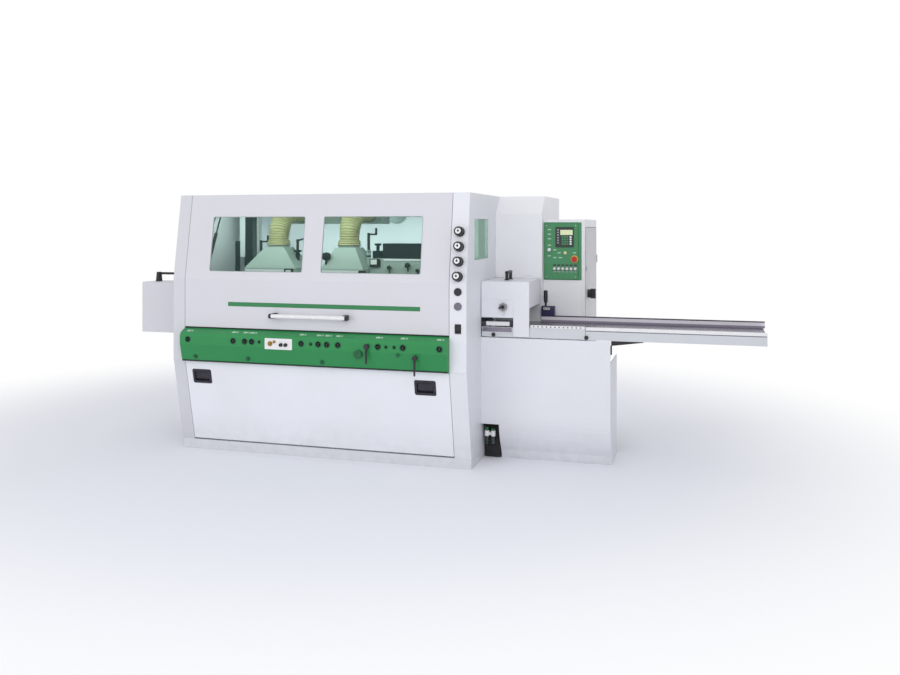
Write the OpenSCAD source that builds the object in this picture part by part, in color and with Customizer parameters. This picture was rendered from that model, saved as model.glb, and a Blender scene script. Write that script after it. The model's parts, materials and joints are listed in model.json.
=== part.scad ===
// Four sided moulder: closed cabinet with a lifting hood, infeed table with guard, control cabinet.
// Millimetres, +Z up, +X towards the infeed. The origin is on the floor under the middle of the enclosure.

/* [Enclosure] */
// Length of the main enclosure
enclosure_w = 2070; // [1900:10:2400]
// Depth from the plinth's front to the rear wall
enclosure_d = 1450; // [1400:10:1600]
// Height of the enclosure
enclosure_h = 1750; // [1740:5:1850]
// Sheet thickness of the covers
skin = 5; // [3:0.5:6]
// How far the front stands out in front of the plinth
front_bulge = 122; // [100:1:140]
// How far the top edge of the front is set back
top_setback = 92; // [70:1:110]
// Height of the crease between the upright and the sloping front
crease_z = 1180; // [1160:1:1190]
// Width of the left cheek seen from the front
left_strip = 88; // [75:1:100]
// Width of the control column on the right
right_column = 110; // [100:1:130]
// Depth of the channel behind the front of each cheek
cheek_depth = 165; // [160:1:190]
// Height of the plinth
plinth_h = 65; // [55:1:68]
// Width of the plinth's wall
plinth_wall = 30; // [20:1:40]
// Thickness of the floor plate
floor_t = 15; // [10:1:20]
// How far the rear extension reaches beyond the right cheek
ext_w = 330; // [300:1:360]
// Distance from the plinth's front to the extension's front
ext_front = 680; // [660:1:700]
// Chamfer on the extension's top front edge
ext_chamfer = 124; // [80:1:140]
// Spacing of the anchor holes along the machine
anchor_x = 1800; // [1600:10:1820]
// Distance of the anchor holes from the plinth's front and rear
anchor_in = 105; // [85:5:125]
// Radius of the anchor holes
anchor_r = 9; // [7:0.5:11]

/* [Hood] */
// Height of the hood's lower edge
hood_z = 858; // [854:1:880]
// Depth of the hood's roof
hood_roof = 353; // [330:1:380]
// Gap between the hood or flap and the cheeks
panel_gap = 3; // [2:0.5:5]
// Width of the folded edges of the hood and flap
panel_fold = 25; // [18:1:30]
// Width of a hood window
window_w = 676; // [600:1:700]
// Height of a window along the slope
window_h = 366; // [300:1:380]
// Height of a window's lower edge above the crease, along the slope
window_rise = 58; // [45:1:65]
// Distance from the hood's left edge to the first window
window_inset = 182; // [160:1:200]
// Width of the bar between the windows
window_bar = 140; // [100:1:170]
// Thickness of a pane
pane_t = 6; // [4:0.5:8]
// Overlap of a pane behind its opening
pane_lap = 16; // [10:1:24]
// Clearance between pieces that seat on each other
seat_gap = 0.2; // [0.1:0.05:0.3]
// Length of the hood handle
handle_l = 550; // [450:5:650]
// Height of the hood handle
handle_z = 950; // [920:1:980]
// Radius of the handle's tube
handle_r = 14; // [10:0.5:17]
// Distance from the hood to the middle of the tube
handle_reach = 52; // [45:1:70]
// Place of the handle's middle along the machine
handle_x = -10; // [-80:1:80]
// Length of one hinge knuckle
knuckle_l = 60; // [40:1:80]
// Radius of the hinge knuckles
knuckle_r = 6; // [5:0.25:7]
// Radius of the hinge pins
hinge_pin_r = 3; // [2.5:0.25:3.5]
// Clearance of turning pieces
run_gap = 0.3; // [0.2:0.05:0.4]
// Radius of a strut's cylinder
strut_r = 12; // [9:0.5:14]
// Radius of a strut's rod
strut_rod_r = 5; // [4:0.5:6]
// Distance between the two struts of a pair
strut_pitch = 43; // [38:1:50]
// Radius of the pin that a strut turns on
strut_pin_r = 8; // [6:0.5:9]

/* [Control belt] */
// Height of the belt's upper edge
belt_top = 852; // [840:1:853]
// Height of the belt's lower edge
belt_low = 628; // [626:1:650]
// How far the belt stands out in front of the hood
belt_reach = 60; // [50:1:75]
// Height of the row of adjuster sockets
socket_z = 779; // [772:1:785]
// Radius of a large socket
socket_r = 16; // [13:0.5:18]
// Radius of a small socket
socket_small_r = 8; // [6:0.5:10]
// Radius of an adjuster spindle
adjuster_r = 10; // [8:0.5:11]
// Length of a clamp lever from hub to tip
lever_l = 112; // [90:1:114]
// Radius of a clamp lever's hub
lever_hub_r = 15; // [12:0.5:17]

/* [Flap] */
// Height of the flap's lower edge
flap_z0 = 75; // [74:0.5:78]
// Height of the flap's upper edge
flap_z1 = 622; // [600:1:624]
// Distance from the flap's lower edge to its pivot
flap_pivot = 13; // [12:0.5:14]
// Radius of the flap's pivot pins
flap_pin_r = 6; // [4:0.5:7]
// Width of a latch
latch_w = 132; // [110:1:150]
// Height of a latch
latch_h = 90; // [80:1:110]
// Depth of a latch tray
latch_d = 24; // [20:1:30]
// Distance from the flap's left edge to the first latch's middle
latch_inset_l = 116; // [90:1:150]
// Distance from the flap's right edge to the second latch's middle
latch_inset_r = 162; // [100:1:200]
// Distance from the flap's lower edge to the middle of a latch
latch_rise = 455; // [420:1:470]

/* [Control column] */
// Radius of a dial knob's skirt
dial_r = 31; // [26:0.5:34]
// How far a dial knob stands out
dial_l = 52; // [40:1:60]
// Distance between dials along the slope
dial_pitch = 94; // [86:1:98]
// Distance from the crease to the lowest dial
dial_rise = 44; // [40:1:48]
// Radius of a dial's spindle
dial_pin_r = 5; // [4:0.5:6]
// Radius of a blanking plug
plug_r = 23; // [18:0.5:26]
// Height of the upper blanking plug
plug_z = 1130; // [1110:1:1140]
// Distance between the blanking plugs
plug_pitch = 90; // [70:1:100]
// Height of the rocker switch
rocker_z = 900; // [880:1:930]
// Width of the rocker switch
rocker_w = 34; // [28:1:40]
// Height of the rocker switch's face
rocker_h = 54; // [44:1:60]

/* [Tables] */
// Height of the machine table
table_z = 885; // [880:1:900]
// How much lower the infeed table lies
infeed_drop = 8; // [4:0.5:10]
// Thickness of the table plates
table_t = 30; // [25:1:34]
// Distance from the plinth's front to the table's front edge
table_front = 255; // [245:1:265]
// Depth of the infeed table's casting
infeed_deep = 65; // [55:1:70]
// Length of the infeed table's first section
infeed_l = 678; // [600:1:720]
// Length of the table extension
extension_l = 1092; // [800:1:1200]
// Height of the extension's front lip above the table
lip_h = 14; // [8:1:18]
// Height of the infeed fence
fence_h = 43; // [35:1:55]
// Thickness of the fences
fence_t = 31; // [25:1:34]
// Height of the machine's own fence
guide_h = 60; // [45:1:65]
// Length of the outfeed table
outfeed_l = 515; // [400:1:520]
// Height of the bed's lower edge
bed_z = 640; // [630:1:650]

/* [Infeed] */
// Width of the infeed console
console_w = 842; // [780:1:880]
// Height at which the console's front starts to curve in
console_curve_z = 320; // [250:1:360]
// Height of the crease in the console's foot
console_foot_z = 58; // [45:1:70]
// Radius of the curve in the console's front
console_curve_r = 446; // [420:1:520]
// Height of the console's side wall
console_side_z = 667; // [600:1:720]
// Width of the cut-out in the console's foot
cutout_w = 118; // [90:1:135]
// Height of the cut-out in the console's foot
cutout_h = 237; // [200:1:250]
// Width of the guard box
guard_w = 319; // [300:1:325]
// Height of the guard box's lower edge
guard_z0 = 817; // [814:1:830]
// Height of the guard box's upper edge
guard_z1 = 1175; // [1160:1:1185]
// Width of the window in the guard's front
guard_window_w = 214; // [180:1:230]
// Height of the adjustable plate's lower edge
guard_plate_z = 940; // [935:1:950]
// Height of the adjustable plate
guard_plate_h = 118; // [110:1:130]
// Travel of the adjustable plate
guard_plate_travel = 50; // [40:1:52]
// Radius of the clamp knob on the guard
guard_knob_r = 26; // [20:0.5:30]
// Height of the guard handle
guard_handle_h = 62; // [50:1:75]
// Length of the guard handle
guard_handle_l = 140; // [110:1:170]
// Radius of the guard handle's bar
guard_handle_r = 11; // [8:0.5:13]
// Width of the control cabinet
cabinet_w = 288; // [270:1:320]
// Height of the control cabinet
cabinet_h = 1585; // [1575:1:1620]
// Distance from the extension's front to the cabinet's front
cabinet_back = 75; // [65:1:90]
// Distance of the operator panel's upper edge below the cabinet's top
panel_drop = 25; // [15:1:40]
// Height of the operator panel
panel_h = 394; // [380:1:400]
// Width of the operator panel
panel_w = 240; // [235:1:250]
// Thickness of the operator panel
panel_t = 10; // [8:1:12]
// Radius of a push button
button_r = 9; // [7:0.5:11]
// Distance between push buttons
button_pitch = 29; // [26:0.5:31]
// Radius of the emergency stop's head
stop_r = 19; // [15:0.5:21]
// Length of the outfeed guard
outfeed_guard_l = 530; // [526:1:560]
// Depth of the outfeed guard
outfeed_guard_d = 200; // [170:1:240]
// Height of the outfeed guard's lower edge
outfeed_guard_z0 = 754; // [730:1:780]
// Height of the outfeed guard's upper edge
outfeed_guard_z1 = 1124; // [1100:1:1150]

/* [Tooling] */
// Radius of the cutterheads
cutter_r = 54; // [45:1:56]
// Length of the upright cutterheads
cutter_h = 130; // [100:1:135]
// Radius of the spindle shafts
shaft_r = 20; // [16:0.5:22]
// Radius of the spindle motors
motor_r = 90; // [75:1:92]
// Length of the spindle motors
motor_l = 280; // [240:1:300]
// Place of the bottom spindle along the machine
bottom_x = 700; // [680:1:715]
// Place of the right spindle along the machine
right_x = 350; // [345:1:356]
// Place of the left spindle and its chip hood along the machine
left_x = 30; // [24:1:34]
// Place of the top spindle and its chip hood along the machine
top_x = -520; // [-530:1:-505]
// Radius of the feed rollers
roller_r = 70; // [60:1:72]
// Length of the feed rollers
roller_l = 60; // [45:1:70]
// Place of the first feed roller along the machine
roller_front_x = 850; // [845:1:870]
// Place of the second feed roller along the machine
roller_rear_x = 285; // [280:1:290]
// Gap under the feed rollers
roller_gap = 35; // [30:1:40]
// Outer radius of the suction hoses
hose_r = 70; // [60:1:72]
// Wall of the suction hoses, ribs included
hose_wall = 9; // [7:0.5:12]
// Depth of the hose ribs
rib_d = 4; // [2:0.5:5]
// Ribs on each hose
hose_ribs = 24; // [16:1:28]
// Radius of the bend in a hose
hose_bend = 180; // [165:1:185]
// Radius of the extraction spigots behind the machine
spigot_r = 75; // [72:1:80]
// Length of the extraction spigots behind the rear wall
spigot_l = 65; // [50:1:90]

/* [Hidden] */
$fn = 48;

// Colours of the finishes
paint_grey = "gainsboro";
paint_green = "seagreen";
paint_navy = "darkslategray";
black_plastic = "dimgray";
bare_steel = "silver";
galvanised = "lightgray";
clear_green = [0.55, 0.75, 0.65, 0.5];

// Main planes of the enclosure
hx = enclosure_w / 2;
plinth_y = -enclosure_d / 2;
rear_y = enclosure_d / 2;
front_y = plinth_y - front_bulge;
crown_y = front_y + top_setback;
lean = atan(top_setback / (enclosure_h - crease_z));
left_in = -hx + left_strip;
right_in = hx - right_column;
column_x = hx - right_column / 2;
ext_y = plinth_y + ext_front;
ext_x = hx + ext_w;
anchor_y = enclosure_d - 2 * anchor_in;
panel_x0 = left_in + panel_gap;
panel_x1 = right_in - panel_gap;
chamfer_y = ext_y + ext_chamfer;
chamfer_z = enclosure_h - ext_chamfer;

// Hood hinge and struts
hinge_y = crown_y + hood_roof + 2 * knuckle_r;
hinge_z = enclosure_h - knuckle_r;
hinge_places = [-700, 0, 700];
hood_back = hinge_y - 2 * knuckle_r;
roof_y = hinge_y + 2 * knuckle_r;
window_x = [panel_x0 + window_inset, panel_x0 + window_inset + window_w + window_bar];
strut_foot = [front_y + 147, hinge_z - 514];
strut_eye = [hinge_y - 80, hinge_z - 54];
strut_eye_r = 14;
strut_span = norm(strut_eye - strut_foot);
strut_tilt = atan2(strut_eye[0] - strut_foot[0], strut_eye[1] - strut_foot[1]);
strut_body_l = strut_span * 0.56;
strut_w = 16;
strut_left_x = left_in + 32;
strut_right_x = right_in - 32;
strut_places = [strut_left_x, strut_left_x + strut_pitch, strut_right_x - strut_pitch, strut_right_x];

// Belt section
belt_y = front_y - belt_reach;
belt_face_z0 = socket_z - 34;
belt_face_z1 = socket_z + 20;
belt_section = [[front_y - 3, belt_low], [belt_y + 30, belt_low], [belt_y, belt_face_z0],
    [belt_y, belt_face_z1], [belt_y + 10, belt_top - 28], [front_y + 10, belt_top], [front_y + 77, belt_top]];
socket_places = [-886, -546, -461, -409, -54, 66, 126, 202, 474, 640, 878];
socket_small_places = [-354, 14, 528, 583];
lever_left_x = 402;
lever_right_x = 722;
lever_left_z = socket_z + 2;
lever_right_z = belt_face_z0 - 26;
lever_boss_l = 18;
lever_pin_r = 6;

// Flap plane: x along the machine, y into the machine, z up the slope
flap_y = plinth_y - 2;
flap_top_y = front_y + 4;
flap_lean = atan((flap_y - flap_top_y) / (flap_z1 - flap_z0));
flap_l = (flap_z1 - flap_z0) / cos(flap_lean);
latch_x = [panel_x0 + latch_inset_l, panel_x1 - latch_inset_r];
latch_wall = 5;
paddle_t = 5;
paddle_h = latch_h * 0.5;

// Tables, fences and bed
table_y = plinth_y + table_front;
table_back = ext_y - 3;
guide_y = ext_y - fence_t - 4;
bed_wall = 30;
bed_back = guide_y - 20;
bed_x = hx - 10;
infeed_z = table_z - infeed_drop;
infeed_x = hx + 5;
joint_x = infeed_x + infeed_l;
extension_x = joint_x + 2;
extension_end = extension_x + extension_l;
infeed_low = infeed_z - infeed_deep;
infeed_rib = 15;
infeed_pitch = (infeed_l - infeed_rib) / 3;
pedestal_x = 650;
pedestal_w = 400;
mouth_z0 = table_z - table_t - 20;
mouth_z1 = table_z + 175;

// Infeed guard, console and cabinet
console_x0 = hx;
console_x1 = hx + console_w;
console_y = table_y - skin;
console_top = infeed_low - 4;
guard_x0 = hx + 3;
guard_x1 = guard_x0 + guard_w;
guard_y = console_y - skin;
guard_hinge_y = ext_y - 12;
guard_hinge_z = guard_z1 + 4;
guard_pin_r = 6;
guard_sleeve_r = 10;
guard_passage_z = table_z + 120;
guard_stud = [guard_x0 + 150, guard_plate_z + 72];
guard_stud_r = 6;
fence_x0 = ext_x + 1;
setter_w = 92;
setter_h = 67;
setter_x = fence_x0 + 2;
fence_z = infeed_z + fence_h;
lever_slot = 16;
fence_lever_x = setter_x + 26;
fence_lever_y = guide_y + fence_t / 2;
fence_lever_z = fence_z + setter_h - 12;
cabinet_x0 = ext_x;
cabinet_x1 = cabinet_x0 + cabinet_w;
cabinet_y = ext_y + cabinet_back;
panel_y = cabinet_y - panel_t;
panel_z = cabinet_h - panel_drop - panel_h;
panel_left = cabinet_x0 + 3;
button_z = panel_z + 75;
button_x = panel_left + panel_w - 20 - 5 * button_pitch;
button_travel = 4;
stop_place = [panel_left + panel_w - 26, panel_z + 142];
stop_stem_r = 11;
switch_y = cabinet_y + 140;
switch_z = 1060;
switch_shaft_r = 7;

// Outfeed guard and its hinge
out_guard_x = -hx - 3;
out_guard_y = table_y + 25;
out_hinge = [-hx - 14, out_guard_y - 10];
out_hinge_z = [outfeed_guard_z0 + 40, mouth_z1 + 14];
out_pin_r = 4;
out_lever_l = 140;
out_lever = [out_guard_x - outfeed_guard_l + 75, out_guard_y + outfeed_guard_d / 2];

// Tooling
right_y = guide_y + cutter_r - 1;
left_y = guide_y - 240;
top_z = table_z + 105;
bottom_z = table_z + 1 - cutter_r;
cutter_low = table_z + 5;
motor_plate_t = 15;
bearing_r = shaft_r + 25;
post_y = ext_y + 45;
post_d = 140;
beam_y0 = guide_y - 250;
beam_y1 = guide_y - 120;
beam_x0 = 198;
beam_x1 = 985;
beam_z0 = table_z + 315;
beam_z1 = beam_z0 + 112;
guide_post_r = 25;
guide_post_y = post_y + 70;
guide_post_places = [520, 905];
roller_y = (beam_y0 + beam_y1) / 2;
roller_z = table_z + roller_gap + roller_r;
roller_shaft_r = 12;
fork_t = 10;

// Suction
chip_y = guide_y - 220;
skirt_z0 = table_z + 175;
skirt_z1 = skirt_z0 + 180;
chip_z = skirt_z1 + 145;
chip_d = 290;
chip_wall = 4;
chip_w = [400, 320];
hose_places = [top_x, left_x];
hose_foot_z = chip_z + 15;
manifold_y0 = chip_y + hose_bend + 180;
manifold_y1 = manifold_y0 + 200;
duct_z = enclosure_h - 110;
hose_rise = duct_z - hose_foot_z - hose_bend;
hose_level = manifold_y0 - chip_y - hose_bend;
crank_places = [[top_x - 2 * hose_r - 6, chip_y], [left_x + 2 * hose_r + 6, chip_y]];
crank_z = [skirt_z1 + 95, skirt_z1 + 130];
crank_pin_r = 6;
crank_l = hose_r - 14;

// Box between two opposite corners
module block(low, high) {
    translate(low) cube(high - low);
}

// Profile in the YZ plane, drawn out along X
module along_x(x0, x1) {
    translate([x0, 0, 0]) rotate([90, 0, 90]) linear_extrude(x1 - x0) children();
}

// Round bars along each axis
module rod_x(x0, x1, y, z, r) {
    translate([x0, y, z]) rotate([0, 90, 0]) cylinder(r = r, h = x1 - x0);
}

module rod_y(y0, y1, x, z, r) {
    translate([x, y1, z]) rotate([90, 0, 0]) cylinder(r = r, h = y1 - y0);
}

module rod_z(z0, z1, x, y, r) {
    translate([x, y, z0]) cylinder(r = r, h = z1 - z0);
}

// Folded sheet: a path and its copy shifted to the right of the direction of travel
function unit_normal(a, b) = [b[1] - a[1], a[0] - b[0]] / norm(b - a);
function shifted(path, i, d) = let (
    last = len(path) - 1,
    n0 = unit_normal(path[max(i - 1, 0)], path[max(i, 1)]),
    n1 = unit_normal(path[min(i, last - 1)], path[min(i + 1, last)])
) path[i] + d * (n0 + n1) / (1 + n0 * n1);
function ribbon(path, d) = concat(path, [for (i = [len(path) - 1:-1:0]) shifted(path, i, d)]);

// Front of the enclosure at a height
function face_y(z) = z < crease_z ? front_y : front_y + (z - crease_z) * tan(lean);

// Frame of the sloping front: z runs up the slope, y into the machine
module on_slope() {
    translate([0, front_y, crease_z]) rotate([-lean, 0, 0]) children();
}

// Frame of the flap: the origin on its lower outer edge
module on_flap() {
    translate([0, flap_y, flap_z0]) rotate([flap_lean, 0, 0]) children();
}

// Plinth outline, drawn in by a margin
function footprint(m) = [[-hx + m, plinth_y + m], [hx - m, plinth_y + m], [hx - m, ext_y + m],
    [ext_x - m, ext_y + m], [ext_x - m, rear_y - m], [-hx + m, rear_y - m]];

// Front outline of a cheek from the plinth to the roof
cheek_front = [[plinth_y, plinth_h], [flap_top_y, flap_z1], [front_y, belt_low], [front_y, crease_z],
    [crown_y, enclosure_h]];

module base_frame() {
    color(paint_grey) difference() {
        union() {
            difference() {
                linear_extrude(plinth_h) polygon(footprint(0));
                translate([0, 0, floor_t]) linear_extrude(plinth_h) polygon(footprint(plinth_wall));
            }
            for (side = [-1, 1]) pedestal(side * pedestal_x);
        }
        for (sx = [-1, 1], sy = [-1, 1])
            translate([sx * anchor_x / 2, sy * anchor_y / 2, -1]) cylinder(r = anchor_r, h = floor_t + 2);
    }
}

// Welded pedestal under the bed: two plates and a web
module pedestal(x) {
    plate = 25;
    block([x - pedestal_w / 2, table_y, 1], [x + pedestal_w / 2, table_y + plate, bed_z]);
    block([x - pedestal_w / 2, bed_back - plate, 1], [x + pedestal_w / 2, bed_back, bed_z]);
    block([x - plate / 2, table_y, 1], [x + plate / 2, bed_back, bed_z]);
}

module machine_table() {
    color(bare_steel) {
        difference() {
            union() {
                block([-bed_x, table_y, table_z - table_t], [bed_x, table_back, table_z]);
                block([-bed_x, table_y, bed_z], [bed_x, table_y + bed_wall, table_z - 1]);
                block([-bed_x, bed_back - bed_wall, bed_z], [bed_x, bed_back, table_z - 1]);
                block([-hx - outfeed_l, table_y + 45, table_z - table_t], [-bed_x + 1, guide_y, table_z]);
            }
            block([bottom_x - cutter_r - 8, table_y + bed_wall, bed_z], [bottom_x + cutter_r + 8, bed_back - bed_wall,
                table_z + 1]);
            rod_y(bed_back - bed_wall - 1, bed_back + 1, bottom_x, bottom_z, shaft_r + run_gap);
            rod_y(bed_back, table_back + 1, bottom_x, bottom_z, bearing_r + 1);
            block([left_x - shaft_r - 10, left_y - 90, bed_z], [left_x + shaft_r + 10, left_y + 90, table_z + 1]);
            block([right_x - cutter_r - 8, guide_y - 4, bed_z], [right_x + cutter_r + 8, table_back + 1, table_z + 1]);
        }
        machine_fence(-bed_x + 5, right_x - cutter_r - 11);
        machine_fence(right_x + cutter_r + 11, bed_x - 5);
    }
}

// One length of the machine's fence, with a clamping groove in its back
module machine_fence(x0, x1) {
    difference() {
        block([x0, guide_y, table_z], [x1, table_back, table_z + guide_h]);
        block([x0 - 1, table_back - 10, table_z + guide_h * 0.4], [x1 + 1, table_back + 1, table_z + guide_h * 0.6]);
    }
}

// Front channel of a cheek: face, its strip of roof and the inner wall
module cheek_channel(x0, x1, wall_x) {
    along_x(x0, x1) polygon(ribbon(concat(cheek_front, [[roof_y, enclosure_h]]), skin));
    along_x(wall_x, wall_x + skin) polygon(ribbon(cheek_front, cheek_depth));
}

// Side wall of a cheek from the front to a depth
module cheek_wall(x0, back_y) {
    along_x(x0, x0 + skin) polygon(concat(cheek_front, [[back_y, enclosure_h], [back_y, plinth_h]]));
}

// Pins on a cheek's inner wall: for the struts and for the flap
module cheek_pins(x, side) {
    strut_reach = strut_pitch + strut_w / 2 + 32 + 6;
    flap_reach = panel_gap + skin + 4;
    rod_x(side > 0 ? x - 1 : x - strut_reach, side > 0 ? x + strut_reach : x + 1, strut_foot[0], strut_foot[1],
        strut_pin_r);
    rod_x(side > 0 ? x - 1 : x - flap_reach, side > 0 ? x + flap_reach : x + 1, flap_axis()[0], flap_axis()[1],
        flap_pin_r);
}

// Flap pivot in the YZ plane
function flap_axis() = [flap_y + flap_pivot * (cos(flap_lean) - sin(flap_lean)),
    flap_z0 + flap_pivot * (cos(flap_lean) + sin(flap_lean))];

module left_cheek() {
    color(paint_grey) difference() {
        union() {
            cheek_channel(-hx, left_in, left_in - skin);
            cheek_wall(-hx, rear_y - skin);
            cheek_pins(left_in, 1);
            for (z = out_hinge_z) outfeed_lug(z);
        }
        block([-hx - 1, table_y, mouth_z0], [-hx + skin + 1, guide_y + 40, mouth_z1]);
    }
}

module right_cheek() {
    color(paint_grey) {
        difference() {
            union() {
                cheek_channel(right_in, hx, right_in);
                cheek_wall(hx - skin, chamfer_y + skin);
                cheek_pins(right_in, -1);
            }
            block([hx - skin - 1, table_y, mouth_z0], [hx + 1, guide_y + 32, mouth_z1]);
            side_window(0, hx - skin - 1, hx + 1);
            for (i = [0:3]) at_dial(i) rotate([-90, 0, 0]) translate([0, 0, -1]) cylinder(r = dial_pin_r + run_gap, h = 20);
            block([column_x - rocker_w / 2 - run_gap, front_y - 1, rocker_z - rocker_h / 2],
                [column_x + rocker_w / 2 + run_gap, front_y + skin + 1, rocker_z + rocker_h / 2]);
        }
        for (i = [0, 1]) rod_y(front_y - 5, front_y, column_x, plug_z - i * plug_pitch, plug_r);
    }
}

// Window in the right cheek, grown by a margin
module side_window(m, x0, x1) {
    block([x0, plinth_y + 76 - m, 1320 - m], [x1, plinth_y + 460 + m, 1585 + m]);
}

module side_window_pane() {
    color(clear_green) side_window(pane_lap, hx - skin - seat_gap - pane_t, hx - skin - seat_gap);
}

module rear_housing() {
    color(paint_grey) difference() {
        union() {
            block([-hx, rear_y - skin, plinth_h], [ext_x, rear_y, enclosure_h]);
            along_x(-hx + skin, hx - skin)
                polygon(ribbon([[roof_y, enclosure_h - 30], [roof_y, enclosure_h], [rear_y, enclosure_h]], skin));
            block([hx - skin - 1, chamfer_y + skin, enclosure_h - skin], [hx, rear_y, enclosure_h]);
            along_x(hx, ext_x) polygon(ribbon([[ext_y, plinth_h], [ext_y, chamfer_z], [chamfer_y, enclosure_h],
                [rear_y, enclosure_h]], skin));
            along_x(ext_x - skin, ext_x) polygon([[ext_y, plinth_h], [ext_y, chamfer_z], [chamfer_y, enclosure_h],
                [rear_y, enclosure_h], [rear_y, plinth_h]]);
            for (x = hinge_places) roof_knuckle(x);
            for (x = [guard_x0 + 15, guard_x0 + 150, guard_x0 + 285]) guard_lug(x);
            rod_x(guard_x0 + 15, guard_x0 + 300, guard_hinge_y, guard_hinge_z, guard_pin_r);
        }
        for (x = hose_places) rod_y(rear_y - skin - 1, rear_y + 1, x, duct_z, hose_r + 1);
    }
}

// Fixed half of a hood hinge with its pin
module roof_knuckle(x) {
    rod_x(x - knuckle_l, x, hinge_y, hinge_z, knuckle_r);
    block([x - knuckle_l, hinge_y, hinge_z - 3], [x, roof_y + 1, hinge_z + 3]);
    rod_x(x - 1, x + knuckle_l, hinge_y, hinge_z, hinge_pin_r);
}

// Lug that carries the guard's hinge pin
module guard_lug(x) {
    block([x, guard_hinge_y, guard_hinge_z - guard_pin_r], [x + 15, ext_y + 1, guard_hinge_z + guard_pin_r]);
}

module control_strip() {
    color(paint_green) difference() {
        union() {
            along_x(left_in, right_in) polygon(ribbon(belt_section, skin));
            rod_y(belt_y, belt_y + lever_boss_l, lever_right_x, lever_right_z, lever_hub_r + 3);
        }
        for (x = socket_places) rod_y(belt_y - 1, belt_y + skin + 1, x, socket_z, socket_r);
        for (x = socket_small_places) rod_y(belt_y - 1, belt_y + skin + 1, x, socket_z, socket_small_r);
        rod_y(belt_y - 1, belt_y + skin + 1, lever_left_x, lever_left_z, lever_pin_r + run_gap);
        rod_y(belt_y - 1, belt_y + lever_boss_l + 1, lever_right_x, lever_right_z, lever_pin_r + run_gap);
    }
}

// Adjusters that reach from the belt to the bed, each with a square end inside its socket
module adjuster_spindles() {
    color(bare_steel) {
        for (x = socket_places) adjuster(x, adjuster_r);
        for (x = socket_small_places) adjuster(x, socket_small_r - 3);
    }
}

module adjuster(x, r) {
    square_end = r * 1.2;
    rod_y(belt_y + 20, table_y, x, socket_z, r);
    block([x - square_end / 2, belt_y - 2, socket_z - square_end / 2],
        [x + square_end / 2, belt_y + 21, socket_z + square_end / 2]);
}

module infeed_console() {
    bow = asin((console_curve_z - console_foot_z) / console_curve_r);
    foot_y = console_y + console_curve_r * (1 - cos(bow));
    curve = [for (i = [0:8]) [console_y + console_curve_r * (1 - cos(bow * (8 - i) / 8)),
        console_curve_z - console_curve_r * sin(bow * (8 - i) / 8)]];
    front = concat([[foot_y + 20, 0]], curve, [[console_y, console_top]]);
    color(paint_grey) {
        difference() {
            union() {
                along_x(console_x0, console_x1) polygon(ribbon(front, skin));
                along_x(console_x1 - skin, console_x1) intersection() {
                    polygon(concat(front, [[ext_y + 10, console_top], [ext_y + 10, 0]]));
                    translate([console_y - 1, 0]) square([ext_y + 11 - console_y, console_side_z]);
                }
            }
            block([console_x0 - 1, console_y - 1, -1], [console_x0 + cutout_w, ext_y, cutout_h]);
        }
        console_post(infeed_x + infeed_pitch + 3);
        console_post(joint_x - 60);
    }
}

// Upright inside the console that the infeed table rests on
module console_post(x) {
    wall = 8;
    y0 = table_y + 90;
    y1 = table_back - 60;
    block([x, y0, 0], [x + wall, y1, infeed_low]);
    block([x + 52, y0, 0], [x + 60, y1, infeed_low]);
    block([x, (y0 + y1 - wall) / 2, 0], [x + 60, (y0 + y1 + wall) / 2, infeed_low]);
}

module control_cabinet() {
    color(paint_grey) difference() {
        block([cabinet_x0, cabinet_y, 0], [cabinet_x1, rear_y, cabinet_h]);
        block([cabinet_x0 + skin, cabinet_y + skin, -1], [cabinet_x1 - skin, rear_y - skin, cabinet_h - skin]);
        at_buttons() rod_y(-panel_t, skin + 1, 0, 0, button_r - 2 + run_gap);
        rod_y(cabinet_y - 1, cabinet_y + skin + 1, stop_place[0], stop_place[1], stop_stem_r + run_gap);
        rod_x(cabinet_x1 - skin - 1, cabinet_x1 + 1, switch_y, switch_z, switch_shaft_r + run_gap);
    }
}

// Places of the push buttons on the cabinet's front
module at_button(i) {
    translate([button_x + i * button_pitch, cabinet_y, button_z]) children();
}

module at_buttons() {
    for (i = [0:5]) at_button(i) children();
}

module operator_panel() {
    color(paint_green) {
        difference() {
            block([panel_left, panel_y, panel_z], [panel_left + panel_w, cabinet_y, panel_z + panel_h]);
            at_buttons() rod_y(-panel_t - 1, 1, 0, 0, button_r - 2 + run_gap);
            rod_y(panel_y - 1, cabinet_y + 1, stop_place[0], stop_place[1], stop_stem_r + run_gap);
        }
        block([panel_left + 82, panel_y - 6, panel_z + 225], [panel_left + 210, panel_y, panel_z + 366]);
        rod_y(panel_y - 12, panel_y, panel_left + 38, panel_z + 206, 12);
        rod_y(panel_y - 12, panel_y, panel_left + 150, panel_z + 185, 11);
    }
}

module push_button(i) {
    color("white") at_button(i) {
        rod_y(-panel_t - button_travel - 7, -panel_t - button_travel - 1, 0, 0, button_r);
        rod_y(-panel_t - button_travel - 2, skin + 6, 0, 0, button_r - 2);
    }
}

module stop_button() {
    color("firebrick") translate([stop_place[0], panel_y, stop_place[1]]) {
        rod_y(-24, -button_travel - 5, 0, 0, stop_r);
        rod_y(-button_travel - 6, panel_t + skin + 8, 0, 0, stop_stem_r);
    }
}

// Rotary main switch on the cabinet's side: a collar and a grip across it
module main_switch() {
    color(black_plastic) {
        rod_x(cabinet_x1 + run_gap, cabinet_x1 + 24, switch_y, switch_z, 30);
        rod_x(cabinet_x1 - skin - 20, cabinet_x1 + 1, switch_y, switch_z, switch_shaft_r);
        block([cabinet_x1 + 23, switch_y - 10, switch_z - 34], [cabinet_x1 + 58, switch_y + 10, switch_z + 34]);
    }
}

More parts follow.
